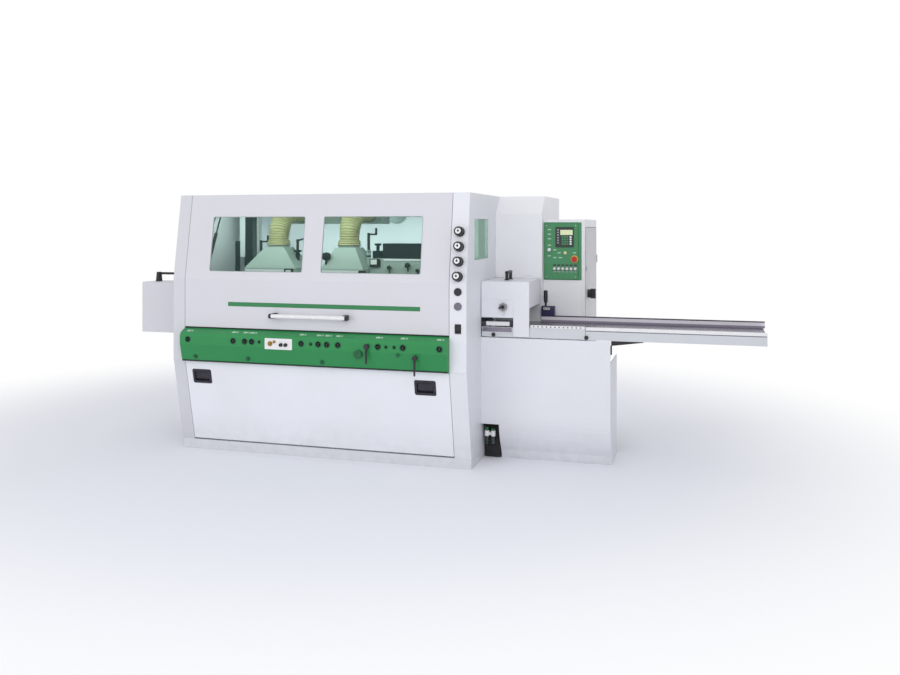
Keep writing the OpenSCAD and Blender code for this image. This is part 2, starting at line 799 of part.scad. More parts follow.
// Uprights behind the fence: feed guides, top spindle post, chip hood post and the dark slide housing
module support_columns() {
    color(paint_navy) {
        difference() {
            block([top_x - 80, post_y, floor_t], [top_x + 80, post_y + post_d, skirt_z0 + 120]);
            rod_y(post_y - 1, post_y + post_d + 1, top_x, top_z, shaft_r + run_gap);
        }
        block([left_x - 50, post_y, floor_t], [left_x + 50, post_y + 60, skirt_z0 + 120]);
        block([-hx + 88, post_y - 40, floor_t], [-hx + 188, post_y + 100, crease_z + 121]);
        block([-hx + 84, post_y - 100, crease_z + 120], [-hx + 190, post_y + 40, enclosure_h - 30]);
        for (x = guide_post_places) rod_z(floor_t, enclosure_h - 150, x, guide_post_y, guide_post_r);
        rod_z(table_z, crease_z + 250, -hx + 224, guide_y - 300, 18);
    }
}

// Chip hoods over the tools, the manifold behind them and the spigots through the rear wall
module suction_fittings() {
    color(galvanised) {
        for (i = [0, 1]) chip_hood(hose_places[i], chip_w[i], crank_places[i], crank_z[i]);
        manifold();
    }
}

// Roof of a chip hood with its lower rectangle at z = 0: two wedges crossed
module frustum(w, d, h, top_w) {
    function wedge(side) = [[-side / 2, 0], [side / 2, 0], [top_w / 2, h], [-top_w / 2, h]];
    intersection() {
        along_x(-w, w) polygon(wedge(d));
        rotate([0, 0, 90]) along_x(-d, d) polygon(wedge(w));
    }
}

module chip_hood(x, w, crank, crank_top) {
    collar_r = hose_r + 6;
    difference() {
        union() {
            block([x - w / 2, chip_y - chip_d / 2, skirt_z0], [x + w / 2, chip_y + chip_d / 2, skirt_z1]);
            translate([x, chip_y, skirt_z1]) frustum(w, chip_d, chip_z - skirt_z1, 2 * collar_r);
            rod_z(chip_z - 2, hose_foot_z + 25, x, chip_y, collar_r);
            rod_z(skirt_z1 - 20, crank_top, crank[0], crank[1], 16);
            block([x - 20, chip_y + chip_d / 2 - 1, skirt_z0 + 60], [x + 20, post_y, skirt_z0 + 100]);
        }
        block([x - w / 2 + chip_wall, chip_y - chip_d / 2 + chip_wall, skirt_z0 - 1],
            [x + w / 2 - chip_wall, chip_y + chip_d / 2 - chip_wall, skirt_z1 - 20]);
        translate([x, chip_y, skirt_z1 - 21])
            frustum(w - 2 * chip_wall, chip_d - 2 * chip_wall, chip_z - skirt_z1, 2 * (hose_r - hose_wall));
        rod_z(skirt_z1 - 21, chip_z + 20, x, chip_y, hose_r - hose_wall);
        rod_z(hose_foot_z, hose_foot_z + 30, x, chip_y, hose_r + run_gap);
        rod_z(crank_top - 30, crank_top + 1, crank[0], crank[1], crank_pin_r + run_gap);
    }
}

module manifold() {
    x0 = hose_places[0] - hose_r - 30;
    x1 = hose_places[1] + hose_r + 30;
    bore = hose_r - hose_wall;
    difference() {
        union() {
            block([x0, manifold_y0, duct_z - 85], [x1, manifold_y1, duct_z + 85]);
            for (x = hose_places) {
                rod_y(manifold_y0 - 25, manifold_y0 + 1, x, duct_z, hose_r + 6);
                rod_y(manifold_y1 - 1, rear_y + 2, x, duct_z, hose_r);
                rod_y(rear_y - skin - 12, rear_y - skin, x, duct_z, hose_r + 14);
                rod_y(rear_y + 2, rear_y + spigot_l, x, duct_z, spigot_r);
            }
        }
        block([x0 + chip_wall, manifold_y0 + chip_wall, duct_z - 85 + chip_wall],
            [x1 - chip_wall, manifold_y1 - chip_wall, duct_z + 85 - chip_wall]);
        for (x = hose_places) {
            rod_y(manifold_y0 - 26, manifold_y0, x, duct_z, hose_r + run_gap);
            rod_y(manifold_y0 - 1, rear_y + spigot_l + 1, x, duct_z, bore);
        }
    }
}

// Hose route in the YZ plane by length: up, round a quarter bend and level to the manifold
hose_arc = hose_bend * PI / 2;
hose_l = hose_rise + hose_arc + hose_level;
function hose_angle(s) = min(max((s - hose_rise) / hose_bend * 180 / PI, 0), 90);
function hose_point(s) = let (a = hose_angle(s)) [
    chip_y + hose_bend * (1 - cos(a)) + max(s - hose_rise - hose_arc, 0),
    hose_foot_z + min(s, hose_rise) + hose_bend * sin(a)];

// Ring of eight points round the route at a length
function hose_ring(s, r) = let (a = hose_angle(s), p = hose_point(s)) [for (k = [0:7])
    [r * cos(k * 45), p[0] + r * sin(k * 45) * cos(a), p[1] - r * sin(k * 45) * sin(a)]];

// Ribbed hose with its bore; each rib has a crest ring and a valley ring between smooth ends
module ribbed_hose() {
    end = 2 * hose_r * 0.25;
    pitch = (hose_l - 2 * end) / hose_ribs;
    rib_s = [for (i = [0:hose_ribs - 1], half = [0, 1]) end + (i + 0.25 + half / 2) * pitch];
    stops = concat([0, end], rib_s, [hose_l - end, hose_l]);
    count = len(stops);
    function outer_r(j) = j > 1 && j < count - 2 && j % 2 == 1 ? hose_r - rib_d : hose_r;
    outer = [for (j = [0:count - 1]) hose_ring(stops[j], outer_r(j))];
    inner = [for (j = [0:count - 1]) hose_ring(stops[j], hose_r - hose_wall)];
    points = [for (ring = concat(outer, inner)) each ring];
    function id(j, k) = 8 * j + k % 8;
    function quad(a, b, c, d) = [[a, b, c], [a, c, d]];
    faces = concat(
        [for (j = [0:count - 2], k = [0:7]) each quad(id(j, k), id(j + 1, k), id(j + 1, k + 1), id(j, k + 1))],
        [for (j = [count:2 * count - 2], k = [0:7])
            each quad(id(j, k), id(j, k + 1), id(j + 1, k + 1), id(j + 1, k))],
        [for (k = [0:7]) each quad(id(0, k), id(0, k + 1), id(count, k + 1), id(count, k))],
        [for (k = [0:7]) each quad(id(count - 1, k), id(2 * count - 1, k), id(2 * count - 1, k + 1),
            id(count - 1, k + 1))]);
    polyhedron(points, faces);
}

module suction_hoses() {
    color("khaki") for (x = hose_places) translate([x, 0, 0]) ribbed_hose();
}

module spindle_motors() {
    color(paint_navy) {
        upright_motor(right_x, right_y, [right_x - motor_r, bed_back - bed_wall], [right_x + motor_r, right_y + motor_r]);
        upright_motor(left_x, left_y, [left_x - motor_r, table_y], [left_x + motor_r, bed_back]);
        motor_along_y(top_x, top_z, post_y + post_d);
        difference() {
            rod_y(bed_back, guide_post_y - 50, bottom_x, bottom_z, bearing_r);
            rod_y(bed_back - 1, guide_post_y, bottom_x, bottom_z, shaft_r + 2);
        }
        motor_along_y(bottom_x, bottom_z, guide_post_y - 50);
    }
}

// Motor hung under the bed by a plate
module upright_motor(x, y, low, high) {
    difference() {
        block([low[0], low[1], bed_z - motor_plate_t], [high[0], high[1], bed_z]);
        rod_z(bed_z - motor_plate_t - 1, bed_z + 1, x, y, shaft_r + run_gap);
    }
    translate([x, y, bed_z - motor_plate_t]) rotate([180, 0, 0]) motor_body();
}

module motor_along_y(x, z, y) {
    translate([x, y, z]) rotate([-90, 0, 0]) motor_body();
}

// Finned motor along +Z from z = 0
module motor_body() {
    cap = 35;
    cylinder(r = motor_r - 6, h = motor_l);
    cylinder(r = motor_r, h = cap);
    for (z = [cap + 15:20:motor_l - cap]) translate([0, 0, z]) cylinder(r = motor_r - 1, h = 6);
    translate([0, 0, motor_l - cap]) cylinder(r = motor_r - 2, h = cap);
}

// Sheet hood between the cheeks, hinged on the roof
module hood_shell() {
    path = [[front_y + panel_fold, hood_z], [front_y, hood_z], [front_y, crease_z], [crown_y, enclosure_h],
        [hood_back, enclosure_h], [hood_back, enclosure_h - panel_fold]];
    side = [[front_y, hood_z], [front_y, crease_z], [crown_y, enclosure_h], [hood_back, enclosure_h]];
    color(paint_grey) difference() {
        union() {
            along_x(panel_x0, panel_x1) polygon(ribbon(path, skin));
            along_x(panel_x0, panel_x0 + skin) polygon(ribbon(side, panel_fold));
            along_x(panel_x1 - skin, panel_x1) polygon(ribbon(side, panel_fold));
            for (x = hinge_places) hood_knuckle(x);
            for (x = strut_places) strut_fork(x);
        }
        for (x = window_x) on_slope()
            block([x, -20, window_rise], [x + window_w, 20, window_rise + window_h]);
        for (x = hinge_places) rod_x(x - 1, x + knuckle_l + 2, hinge_y, hinge_z, hinge_pin_r + run_gap);
    }
}

module hood_knuckle(x) {
    rod_x(x + run_gap, x + knuckle_l, hinge_y, hinge_z, knuckle_r);
    block([x + run_gap, hood_back - 2, hinge_z - 3], [x + knuckle_l, hinge_y, hinge_z + 3]);
}

// Two ears under the hood's roof that a strut's eye lies between
module strut_fork(x) {
    for (side = [-1, 1]) {
        inner = x + side * (strut_w / 2 + 1);
        along_x(min(inner, inner + side * 4), max(inner, inner + side * 4)) polygon([
            [strut_eye[0] - 22, enclosure_h - 1], [strut_eye[0] + 22, enclosure_h - 1],
            [strut_eye[0] + 14, strut_eye[1] - 14], [strut_eye[0] - 14, strut_eye[1] - 14]]);
    }
}

module window_panes() {
    color(clear_green) for (x = window_x) on_slope()
        block([x - pane_lap, skin + seat_gap, window_rise - pane_lap],
            [x + window_w + pane_lap, skin + seat_gap + pane_t, window_rise + window_h + pane_lap]);
}

module hood_handle() {
    x0 = handle_x - handle_l / 2;
    x1 = handle_x + handle_l / 2;
    y = front_y - handle_reach;
    color("white") {
        rod_x(x0, x1, y, handle_z, handle_r);
        for (x = [x0 + 12, x1 - 36])
            block([x, y, handle_z - handle_r], [x + 24, front_y, handle_z + handle_r]);
    }
}

// Frame of the struts: z along the strut from its foot
module on_strut(x) {
    translate([x, strut_foot[0], strut_foot[1]]) rotate([-strut_tilt, 0, 0]) children();
}

module strut_cylinders() {
    color(black_plastic) for (x = strut_places) on_strut(x) difference() {
        union() {
            rod_x(-strut_w / 2, strut_w / 2, 0, 0, strut_pin_r + 6);
            rod_z(strut_pin_r + 4, strut_body_l, 0, 0, strut_r);
        }
        rod_x(-strut_w, strut_w, 0, 0, strut_pin_r + run_gap);
        rod_z(60, strut_body_l + 1, 0, 0, strut_rod_r + run_gap);
    }
}

module strut_rods() {
    color(bare_steel) for (x = strut_places) on_strut(x) {
        rod_z(170, strut_span - 2, 0, 0, strut_rod_r);
        rod_x(-strut_w / 2, strut_w / 2, 0, strut_span, strut_eye_r);
    }
}

// Sheet flap below the belt, pivoted near its lower edge
module flap_panel() {
    color(paint_grey) difference() {
        on_flap() {
            block([panel_x0, 0, 0], [panel_x1, skin, flap_l]);
            block([panel_x0, 0, flap_l - skin], [panel_x1, panel_fold, flap_l]);
            block([panel_x0, 0, 0], [panel_x1, panel_fold, skin]);
            block([panel_x0, 0, 0], [panel_x0 + skin, panel_fold, flap_l]);
            block([panel_x1 - skin, 0, 0], [panel_x1, panel_fold, flap_l]);
        }
        rod_x(panel_x0 - 1, panel_x0 + skin + 1, flap_axis()[0], flap_axis()[1], flap_pin_r + run_gap);
        rod_x(panel_x1 - skin - 1, panel_x1 + 1, flap_axis()[0], flap_axis()[1], flap_pin_r + run_gap);
        on_flap() for (x = latch_x)
            block([x - latch_w / 2 + 4, -1, latch_rise - latch_h / 2 + 4],
                [x + latch_w / 2 - 4, skin + 1, latch_rise + latch_h / 2 - 4]);
    }
}

// Recessed trays behind the latch paddles, with a rim on the flap's face
module latch_trays() {
    rim = 3;
    color(black_plastic) on_flap() for (x = latch_x) difference() {
        union() {
            block([x - latch_w / 2, -rim, latch_rise - latch_h / 2], [x + latch_w / 2, 0, latch_rise + latch_h / 2]);
            block([x - latch_w / 2 + 5, -1, latch_rise - latch_h / 2 + 5],
                [x + latch_w / 2 - 5, latch_d, latch_rise + latch_h / 2 - 5]);
        }
        block([x - latch_w / 2 + 12, -rim - 1, latch_rise - latch_h / 2 + 12],
            [x + latch_w / 2 - 12, latch_d - latch_wall, latch_rise + latch_h / 2 - 12]);
    }
}

// Paddle hung in its tray by a pivot bar along its upper edge
module latch_paddle(x) {
    top = latch_rise + latch_h / 2 - 12 - 7;
    color(black_plastic) on_flap() {
        rod_x(x - latch_w / 2 + 12 + run_gap, x + latch_w / 2 - 12 - run_gap, 6, top, 5);
        block([x - latch_w / 2 + 16, 6 - paddle_t / 2, top - paddle_h],
            [x + latch_w / 2 - 16, 6 + paddle_t / 2, top]);
    }
}

// Frame of a dial on the sloping column: the origin on the face, y into the machine
module at_dial(i) {
    on_slope() translate([column_x, 0, dial_rise + i * dial_pitch]) children();
}

// Knob with a fluted skirt, a step and a pale face disc
module dial_knob(i) {
    color(black_plastic) at_dial(i) rotate([90, 0, 0]) difference() {
        union() {
            translate([0, 0, run_gap]) cylinder(r = dial_r, h = 10);
            translate([0, 0, 9]) cylinder(r = dial_r - 3, h = dial_l - 12);
            translate([0, 0, dial_l - 4]) cylinder(r = dial_r - 6, h = 4);
            translate([0, 0, -skin - 10]) cylinder(r = dial_pin_r, h = skin + 12);
        }
        for (a = [0:30:330]) rotate(a) translate([dial_r - 1, 0, 14]) cylinder(r = 3, h = dial_l);
    }
}

// Rocker with a round back, so that it tips about its own middle
module rocker_switch() {
    r = 34;
    color(black_plastic) intersection() {
        rod_x(column_x - rocker_w / 2, column_x + rocker_w / 2, front_y + 24, rocker_z, r);
        block([column_x - rocker_w, front_y - 20, rocker_z - rocker_h / 2 + 4],
            [column_x + rocker_w, front_y + 30, rocker_z + rocker_h / 2 - 4]);
    }
}

// Clamp lever on the belt: hub, pin through the belt and a tapering arm
module clamp_lever(x, z, y) {
    color(black_plastic) {
        rod_y(y - 26, y - run_gap, x, z, lever_hub_r);
        rod_y(y - 1, y + skin + 20, x, z, lever_pin_r);
        translate([x, y - 18, z]) rotate([180, 0, 0]) {
            cylinder(r1 = 8, r2 = 6, h = lever_l - 6);
            translate([0, 0, lever_l - 6]) sphere(r = 6);
        }
    }
}

// Guard over the infeed: front, top and right wall, open to the machine and underneath
module guard_box() {
    color(paint_grey) difference() {
        union() {
            block([guard_x0, guard_y, guard_z0], [guard_x1, guard_y + skin, guard_z1]);
            block([guard_x0, guard_y, guard_z1 - skin], [guard_x1, guard_hinge_y - guard_sleeve_r - 2, guard_z1]);
            block([guard_x1 - skin, guard_y, guard_z0], [guard_x1, guard_hinge_y - guard_sleeve_r - 12, guard_z1]);
            for (x = [guard_x0 + 50, guard_x0 + 205]) {
                rod_x(x, x + 60, guard_hinge_y, guard_hinge_z, guard_sleeve_r);
                block([x, guard_hinge_y - guard_sleeve_r - 3, guard_z1 - skin], [x + 60, guard_hinge_y, guard_z1]);
            }
        }
        block([guard_x0 - 1, guard_y - 1, guard_z0 - 1], [guard_x0 + guard_window_w, guard_y + skin + 1, guard_plate_z]);
        block([guard_x1 - skin - 1, table_y - 2, guard_z0 - 1], [guard_x1 + 1, rear_y, guard_passage_z]);
        rod_x(guard_x0, guard_x1, guard_hinge_y, guard_hinge_z, guard_pin_r + run_gap);
        rod_y(guard_y - 1, guard_y + skin + 1, guard_stud[0], guard_stud[1], guard_stud_r + run_gap);
    }
}

// Bow handle on the guard's top, along the depth
module guard_handle() {
    x = guard_x0 + 137;
    y0 = guard_y + 150;
    y1 = y0 + guard_handle_l;
    z = guard_z1 + guard_handle_h - guard_handle_r;
    color(black_plastic) {
        rod_y(y0, y1, x, z, guard_handle_r);
        for (y = [y0 + guard_handle_r, y1 - guard_handle_r]) {
            rod_z(guard_z1, z, x, y, guard_handle_r);
            rod_z(guard_z1, guard_z1 + 6, x, y, guard_handle_r + 6);
        }
    }
}

// Adjustable plate in front of the guard's window, with a slot for the clamp stud
module guard_plate() {
    slot_r = guard_stud_r + 2;
    color(paint_grey) difference() {
        block([guard_x0 + 2, guard_y - skin - seat_gap, guard_plate_z],
            [guard_x0 + guard_window_w, guard_y - seat_gap, guard_plate_z + guard_plate_h]);
        rod_y(guard_y - 20, guard_y + 1, guard_stud[0], guard_stud[1], slot_r);
        rod_y(guard_y - 20, guard_y + 1, guard_stud[0], guard_stud[1] - guard_plate_travel, slot_r);
        block([guard_stud[0] - slot_r, guard_y - 20, guard_stud[1] - guard_plate_travel],
            [guard_stud[0] + slot_r, guard_y + 1, guard_stud[1]]);
    }
}

// Clamp knob with a stud through the plate's slot
module guard_knob() {
    face = guard_y - skin - 2 * seat_gap;
    color(bare_steel) translate([guard_stud[0], 0, guard_stud[1]]) {
        difference() {
            rod_y(face - 24, face - 4, 0, 0, guard_knob_r);
            for (a = [0:60:300]) rotate([0, a, 0]) rod_y(face - 25, face - 3, guard_knob_r + 3, 0, 7);
        }
        rod_y(face - 5, face, 0, 0, guard_knob_r - 10);
        rod_y(face - 1, guard_y + skin + 10, 0, 0, guard_stud_r);
    }
}

// Ribbed casting of the infeed table's first section, with a row of scale holes along the front edge
module infeed_table() {
    color(bare_steel) difference() {
        block([infeed_x, table_y, infeed_low], [joint_x, table_back, infeed_z]);
        for (i = [0:2]) {
            x0 = infeed_x + infeed_rib + i * infeed_pitch;
            block([x0, table_y + infeed_rib, infeed_low - 1],
                [x0 + infeed_pitch - infeed_rib, table_back - infeed_rib, infeed_z - table_t]);
        }
        for (x = [guard_x1 + 30:32:joint_x - 20]) rod_z(infeed_z - 8, infeed_z + 1, x, table_y + 14, 5);
    }
}

// Folded extension of the infeed table, with a raised front lip and a gusset at the joint
module table_extension() {
    wall = 12;
    color(bare_steel) {
        difference() {
            union() {
                block([extension_x, table_y, infeed_low], [extension_end, table_back, infeed_z]);
                block([extension_x, table_y, infeed_low], [extension_end, table_y + wall, infeed_z + lip_h]);
            }
            block([extension_x + wall, table_y + wall, infeed_low - 1],
                [extension_end - wall, table_back - wall, infeed_z - wall]);
        }
        block([joint_x, table_y + 60, infeed_low + 5], [extension_x + 1, table_back - 60, infeed_z - 10]);
        for (y = [table_y + wall, table_back])
            translate([console_x1 + 4, y, 0]) rotate([90, 0, 0]) linear_extrude(wall)
                polygon([[0, infeed_low + 1], [200, infeed_low + 1], [200, infeed_low - 5], [0, infeed_low - 32]]);
    }
}

// Low fence along the back of the infeed, with a groove along its top
module infeed_fence() {
    color(bare_steel) difference() {
        block([fence_x0, guide_y, infeed_z], [extension_end + 12, guide_y + fence_t, fence_z]);
        block([setter_x + setter_w + 10, guide_y + 10, fence_z - 8], [extension_end + 13, guide_y + 20, fence_z + 1]);
    }
}

// Setting head on the fence: chamfered housing with a slot for its lever
module fence_setter() {
    color(paint_navy) difference() {
        along_x(setter_x, setter_x + setter_w) polygon([[guide_y - 12, fence_z], [guide_y + fence_t, fence_z],
            [guide_y + fence_t, fence_z + setter_h - 12], [guide_y + fence_t - 8, fence_z + setter_h],
            [guide_y, fence_z + setter_h], [guide_y - 12, fence_z + setter_h - 18]]);
        block([fence_lever_x - 14, fence_lever_y - lever_slot / 2, fence_lever_z - 14],
            [setter_x + setter_w - 8, fence_lever_y + lever_slot / 2, fence_z + setter_h + 1]);
    }
}

module fence_lever() {
    grip_z = fence_lever_z + 42;
    color(black_plastic) {
        rod_y(fence_lever_y - lever_slot / 2 + run_gap, fence_lever_y + lever_slot / 2 - run_gap, fence_lever_x,
            fence_lever_z, 11);
        rod_z(fence_lever_z, grip_z + 1, fence_lever_x, fence_lever_y, 7);
        rod_z(grip_z, grip_z + 10, fence_lever_x, fence_lever_y, 12);
        rod_z(grip_z + 9, grip_z + 75, fence_lever_x, fence_lever_y, 14);
    }
}

// Feed beam over the table: box beam, two guide bushes and the forks of the rollers
module feed_beam() {
    color(galvanised) difference() {
        union() {
            block([beam_x0, beam_y0, beam_z0], [beam_x1, beam_y1, beam_z1]);
            for (x = guide_post_places) {
                block([x - 20, beam_y1 - 1, beam_z0 + 20], [x + 20, guide_post_y, beam_z1 - 20]);
                rod_z(beam_z0, beam_z1, x, guide_post_y, guide_post_r + 20);
            }
            roller_fork(roller_front_x);
            roller_fork(roller_rear_x);
        }
        for (x = guide_post_places) rod_z(beam_z0 - 1, beam_z1 + 1, x, guide_post_y, guide_post_r + run_gap);
        for (x = [roller_front_x, roller_rear_x]) rod_y(beam_y0, beam_y1, x, roller_z, roller_shaft_r + run_gap);
    }
}

module roller_fork(x) {
    for (y = [roller_y - roller_l / 2 - 4 - fork_t, roller_y + roller_l / 2 + 4])
        block([x - 26, y, roller_z - 26], [x + 26, y + fork_t, beam_z0 + 1]);
}

// Motor housing on the beam and the position indicator beside it
module feed_motor() {
    color(paint_navy) {
        block([beam_x0 + 95, beam_y0, beam_z1], [beam_x0 + 377, beam_y1, beam_z1 + 105]);
        rod_z(beam_z1, beam_z1 + 52, beam_x0 + 42, beam_y0 + 45, 38);
        rod_z(beam_z1 + 51, beam_z1 + 90, beam_x0 + 42, beam_y0 + 45, 12);
        rod_z(beam_z1 + 89, beam_z1 + 104, beam_x0 + 42, beam_y0 + 45, 24);
    }
}

// Feed roller with toothed rim on its shaft
module feed_roller(x) {
    color(black_plastic) translate([x, roller_y, roller_z]) {
        difference() {
            rod_y(-roller_l / 2, roller_l / 2, 0, 0, roller_r);
            for (a = [0:20:340]) rotate([0, a, 0])
                block([roller_r - 4, -roller_l, -3], [roller_r + 2, roller_l, 3]);
        }
        rod_y(-roller_l / 2 - fork_t - 8, roller_l / 2 + fork_t + 8, 0, 0, roller_shaft_r);
    }
}

// Cutterhead along +Z with four knives in gullets
module cutterhead(l) {
    difference() {
        cylinder(r = cutter_r - 2, h = l);
        for (a = [0:90:270]) rotate(a) translate([cutter_r - 16, -2, -1]) cube([20, 16, l + 2]);
    }
    for (a = [0:90:270]) rotate(a) translate([cutter_r - 18, -6, 2]) cube([17, 4, l - 4]);
}

module bottom_spindle() {
    y0 = table_y + bed_wall + 10;
    color(bare_steel) translate([bottom_x, y0, bottom_z]) rotate([-90, 0, 0]) {
        cutterhead(bed_back - bed_wall - 10 - y0);
        cylinder(r = shaft_r, h = guide_post_y - 50 - run_gap - y0);
    }
}

module upright_spindle(x, y) {
    color(bare_steel) translate([x, y, 0]) {
        translate([0, 0, cutter_low]) cutterhead(cutter_h);
        rod_z(bed_z - motor_plate_t + run_gap, cutter_low + cutter_h + 20, 0, 0, shaft_r);
    }
}

module top_spindle() {
    y0 = chip_y - chip_d / 2 + 30;
    color(bare_steel) translate([top_x, y0, top_z]) rotate([-90, 0, 0]) {
        cutterhead(chip_d - 60);
        cylinder(r = shaft_r, h = post_y + post_d - run_gap - y0);
    }
}

// Swinging guard over the outfeed: front, top and end wall with the outlet, and its hinge sleeves
module outfeed_guard() {
    x0 = out_guard_x - outfeed_guard_l;
    y1 = out_guard_y + outfeed_guard_d;
    color(paint_grey) difference() {
        union() {
            block([x0, out_guard_y, outfeed_guard_z0], [out_guard_x, out_guard_y + skin, outfeed_guard_z1]);
            block([x0, out_guard_y, outfeed_guard_z1 - skin], [out_guard_x, y1, outfeed_guard_z1]);
            block([x0, out_guard_y, outfeed_guard_z0], [x0 + skin, y1, outfeed_guard_z1]);
            for (z = out_hinge_z) {
                rod_z(z + run_gap, z + 50, out_hinge[0], out_hinge[1], out_pin_r + 4);
                block([out_hinge[0] - 26, out_hinge[1] - 3, z + run_gap], [out_hinge[0], out_guard_y + 1, z + 50]);
            }
        }
        block([x0 - 1, out_guard_y + 35, table_z - table_t - 10], [x0 + skin + 1, y1 + 1, table_z + 150]);
        for (z = out_hinge_z) rod_z(z - 1, z + 51, out_hinge[0], out_hinge[1], out_pin_r + run_gap);
        rod_z(outfeed_guard_z1 - skin - 1, outfeed_guard_z1 + 1, out_lever[0], out_lever[1], out_pin_r + run_gap);
    }
}

// Lever on the outfeed guard: pin, post and a level arm
module outfeed_lever() {
    color(black_plastic) translate([out_lever[0], out_lever[1], outfeed_guard_z1]) {
        rod_z(-skin - 12, 1, 0, 0, out_pin_r);
        translate([0, 0, run_gap]) cylinder(r1 = 24, r2 = 18, h = 70);
        rod_x(0, out_lever_l, 0, 60, 9);
    }
}

// Lug and pin on the left cheek for the outfeed guard
module outfeed_lug(z) {
    block([out_hinge[0] - 6, out_hinge[1] - 6, z - 12], [-hx + 1, out_hinge[1] + 6, z]);
    rod_z(z - 1, z + 50, out_hinge[0], out_hinge[1], out_pin_r);
}

// Hand crank: pin in its boss, post, arm and grip
module crank(place, z, l) {
    color(black_plastic) translate([place[0], place[1], z]) {
        rod_z(-28, 1, 0, 0, crank_pin_r);
        rod_z(run_gap, 60 + l, 0, 0, 10);
        rod_x(0, crank_l, 0, 50 + l, 6);
        rod_z(44 + l, 95 + l, crank_l, 0, 8);
    }
}

base_frame();
machine_table();
left_cheek();
right_cheek();
rear_housing();
control_strip();
infeed_console();
control_cabinet();
operator_panel();
support_columns();
suction_fittings();
suction_hoses();
spindle_motors();
side_window_pane();
adjuster_spindles();
hood_shell();
window_panes();
hood_handle();
strut_cylinders();
strut_rods();
flap_panel();
latch_trays();
latch_paddle(latch_x[0]);  // latch_paddle_left
latch_paddle(latch_x[1]);  // latch_paddle_right
dial_knob(0);  // dial_knob_1
dial_knob(1);  // dial_knob_2
dial_knob(2);  // dial_knob_3
dial_knob(3);  // dial_knob_4
rocker_switch();
clamp_lever(lever_left_x, lever_left_z, belt_y);  // clamp_lever_left
clamp_lever(lever_right_x, lever_right_z, belt_y);  // clamp_lever_right
guard_box();
guard_handle();
guard_plate();
guard_knob();
infeed_table();
table_extension();
infeed_fence();
fence_setter();
fence_lever();
stop_button();
push_button(0);  // push_button_1
push_button(1);  // push_button_2
push_button(2);  // push_button_3
push_button(3);  // push_button_4
push_button(4);  // push_button_5
push_button(5);  // push_button_6
main_switch();
feed_beam();
feed_motor();
feed_roller(roller_front_x);  // feed_roller_front
feed_roller(roller_rear_x);  // feed_roller_rear
bottom_spindle();
upright_spindle(right_x, right_y);  // right_spindle
upright_spindle(left_x, left_y);  // left_spindle
top_spindle();
outfeed_guard();
outfeed_lever();
crank(crank_places[0], crank_z[0], 40);  // crank_left
crank(crank_places[1], crank_z[1], 60);  // crank_right
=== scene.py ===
"""Looks of a four sided moulder: finishes, trim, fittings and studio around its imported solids."""

from __future__ import annotations

import json
import logging
import math
from dataclasses import dataclass
from enum import Enum
from typing import Any, Callable, Iterable, Sequence

import bmesh
import bpy
from mathutils import Matrix, Vector

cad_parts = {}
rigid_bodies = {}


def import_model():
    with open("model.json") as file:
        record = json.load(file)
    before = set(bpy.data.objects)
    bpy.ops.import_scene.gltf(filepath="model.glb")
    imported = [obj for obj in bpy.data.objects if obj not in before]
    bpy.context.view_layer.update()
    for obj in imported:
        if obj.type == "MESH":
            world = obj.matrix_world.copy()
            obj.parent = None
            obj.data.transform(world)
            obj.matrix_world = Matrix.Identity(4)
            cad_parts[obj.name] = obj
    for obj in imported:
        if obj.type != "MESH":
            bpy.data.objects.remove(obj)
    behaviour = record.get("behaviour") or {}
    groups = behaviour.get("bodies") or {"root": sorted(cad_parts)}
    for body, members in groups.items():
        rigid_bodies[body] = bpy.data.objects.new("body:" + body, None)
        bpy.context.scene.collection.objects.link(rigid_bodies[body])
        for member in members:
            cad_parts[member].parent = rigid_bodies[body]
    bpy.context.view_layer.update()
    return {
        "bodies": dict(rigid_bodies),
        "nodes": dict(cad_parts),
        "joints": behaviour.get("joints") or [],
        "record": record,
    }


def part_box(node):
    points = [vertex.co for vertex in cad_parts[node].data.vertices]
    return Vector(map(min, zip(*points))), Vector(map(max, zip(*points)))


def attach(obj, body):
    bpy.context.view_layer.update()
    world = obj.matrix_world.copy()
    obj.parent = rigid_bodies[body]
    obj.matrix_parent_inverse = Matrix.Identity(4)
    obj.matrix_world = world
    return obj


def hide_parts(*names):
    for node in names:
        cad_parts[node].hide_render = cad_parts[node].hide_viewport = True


LOG = logging.getLogger("moulder")
MM = 0.001

Point = tuple[float, float, float]
Pair = tuple[float, float]
Colour = tuple[float, float, float, float]
Tree = bpy.types.NodeTree
Node = bpy.types.Node
Socket = bpy.types.NodeSocket


def linear(code: str) -> Colour:
    """Turn an sRGB hex colour into the linear colour that Blender's sockets take.

    Args:
        code: Six hex digits, with or without a leading hash.

    Returns:
        Red, green, blue and a full alpha, in linear light.
    """
    digits = code.lstrip("#")
    parts = [int(digits[i:i + 2], 16) / 255.0 for i in (0, 2, 4)]
    red, green, blue = [c / 12.92 if c <= 0.04045 else ((c + 0.055) / 1.055) ** 2.4 for c in parts]
    return red, green, blue, 1.0


def add_node(tree: Tree, kind: str, inputs: dict[Any, Any] | None = None, **settings: Any) -> Node:
    """Add one node with its settings, socket values and links.

    Args:
        tree: The tree that takes the node.
        kind: Blender's name of the node type.
        inputs: Socket name or number to a plain value, or to the output socket that feeds it.
        settings: Attributes of the node.

    Returns:
        The new node.
    """
    node = tree.nodes.new(kind)
    for key, value in settings.items():
        setattr(node, key, value)
    for key, value in (inputs or {}).items():
        if isinstance(value, Socket):
            tree.links.new(value, node.inputs[key])
        else:
            node.inputs[key].default_value = value
    return node


# Finishes

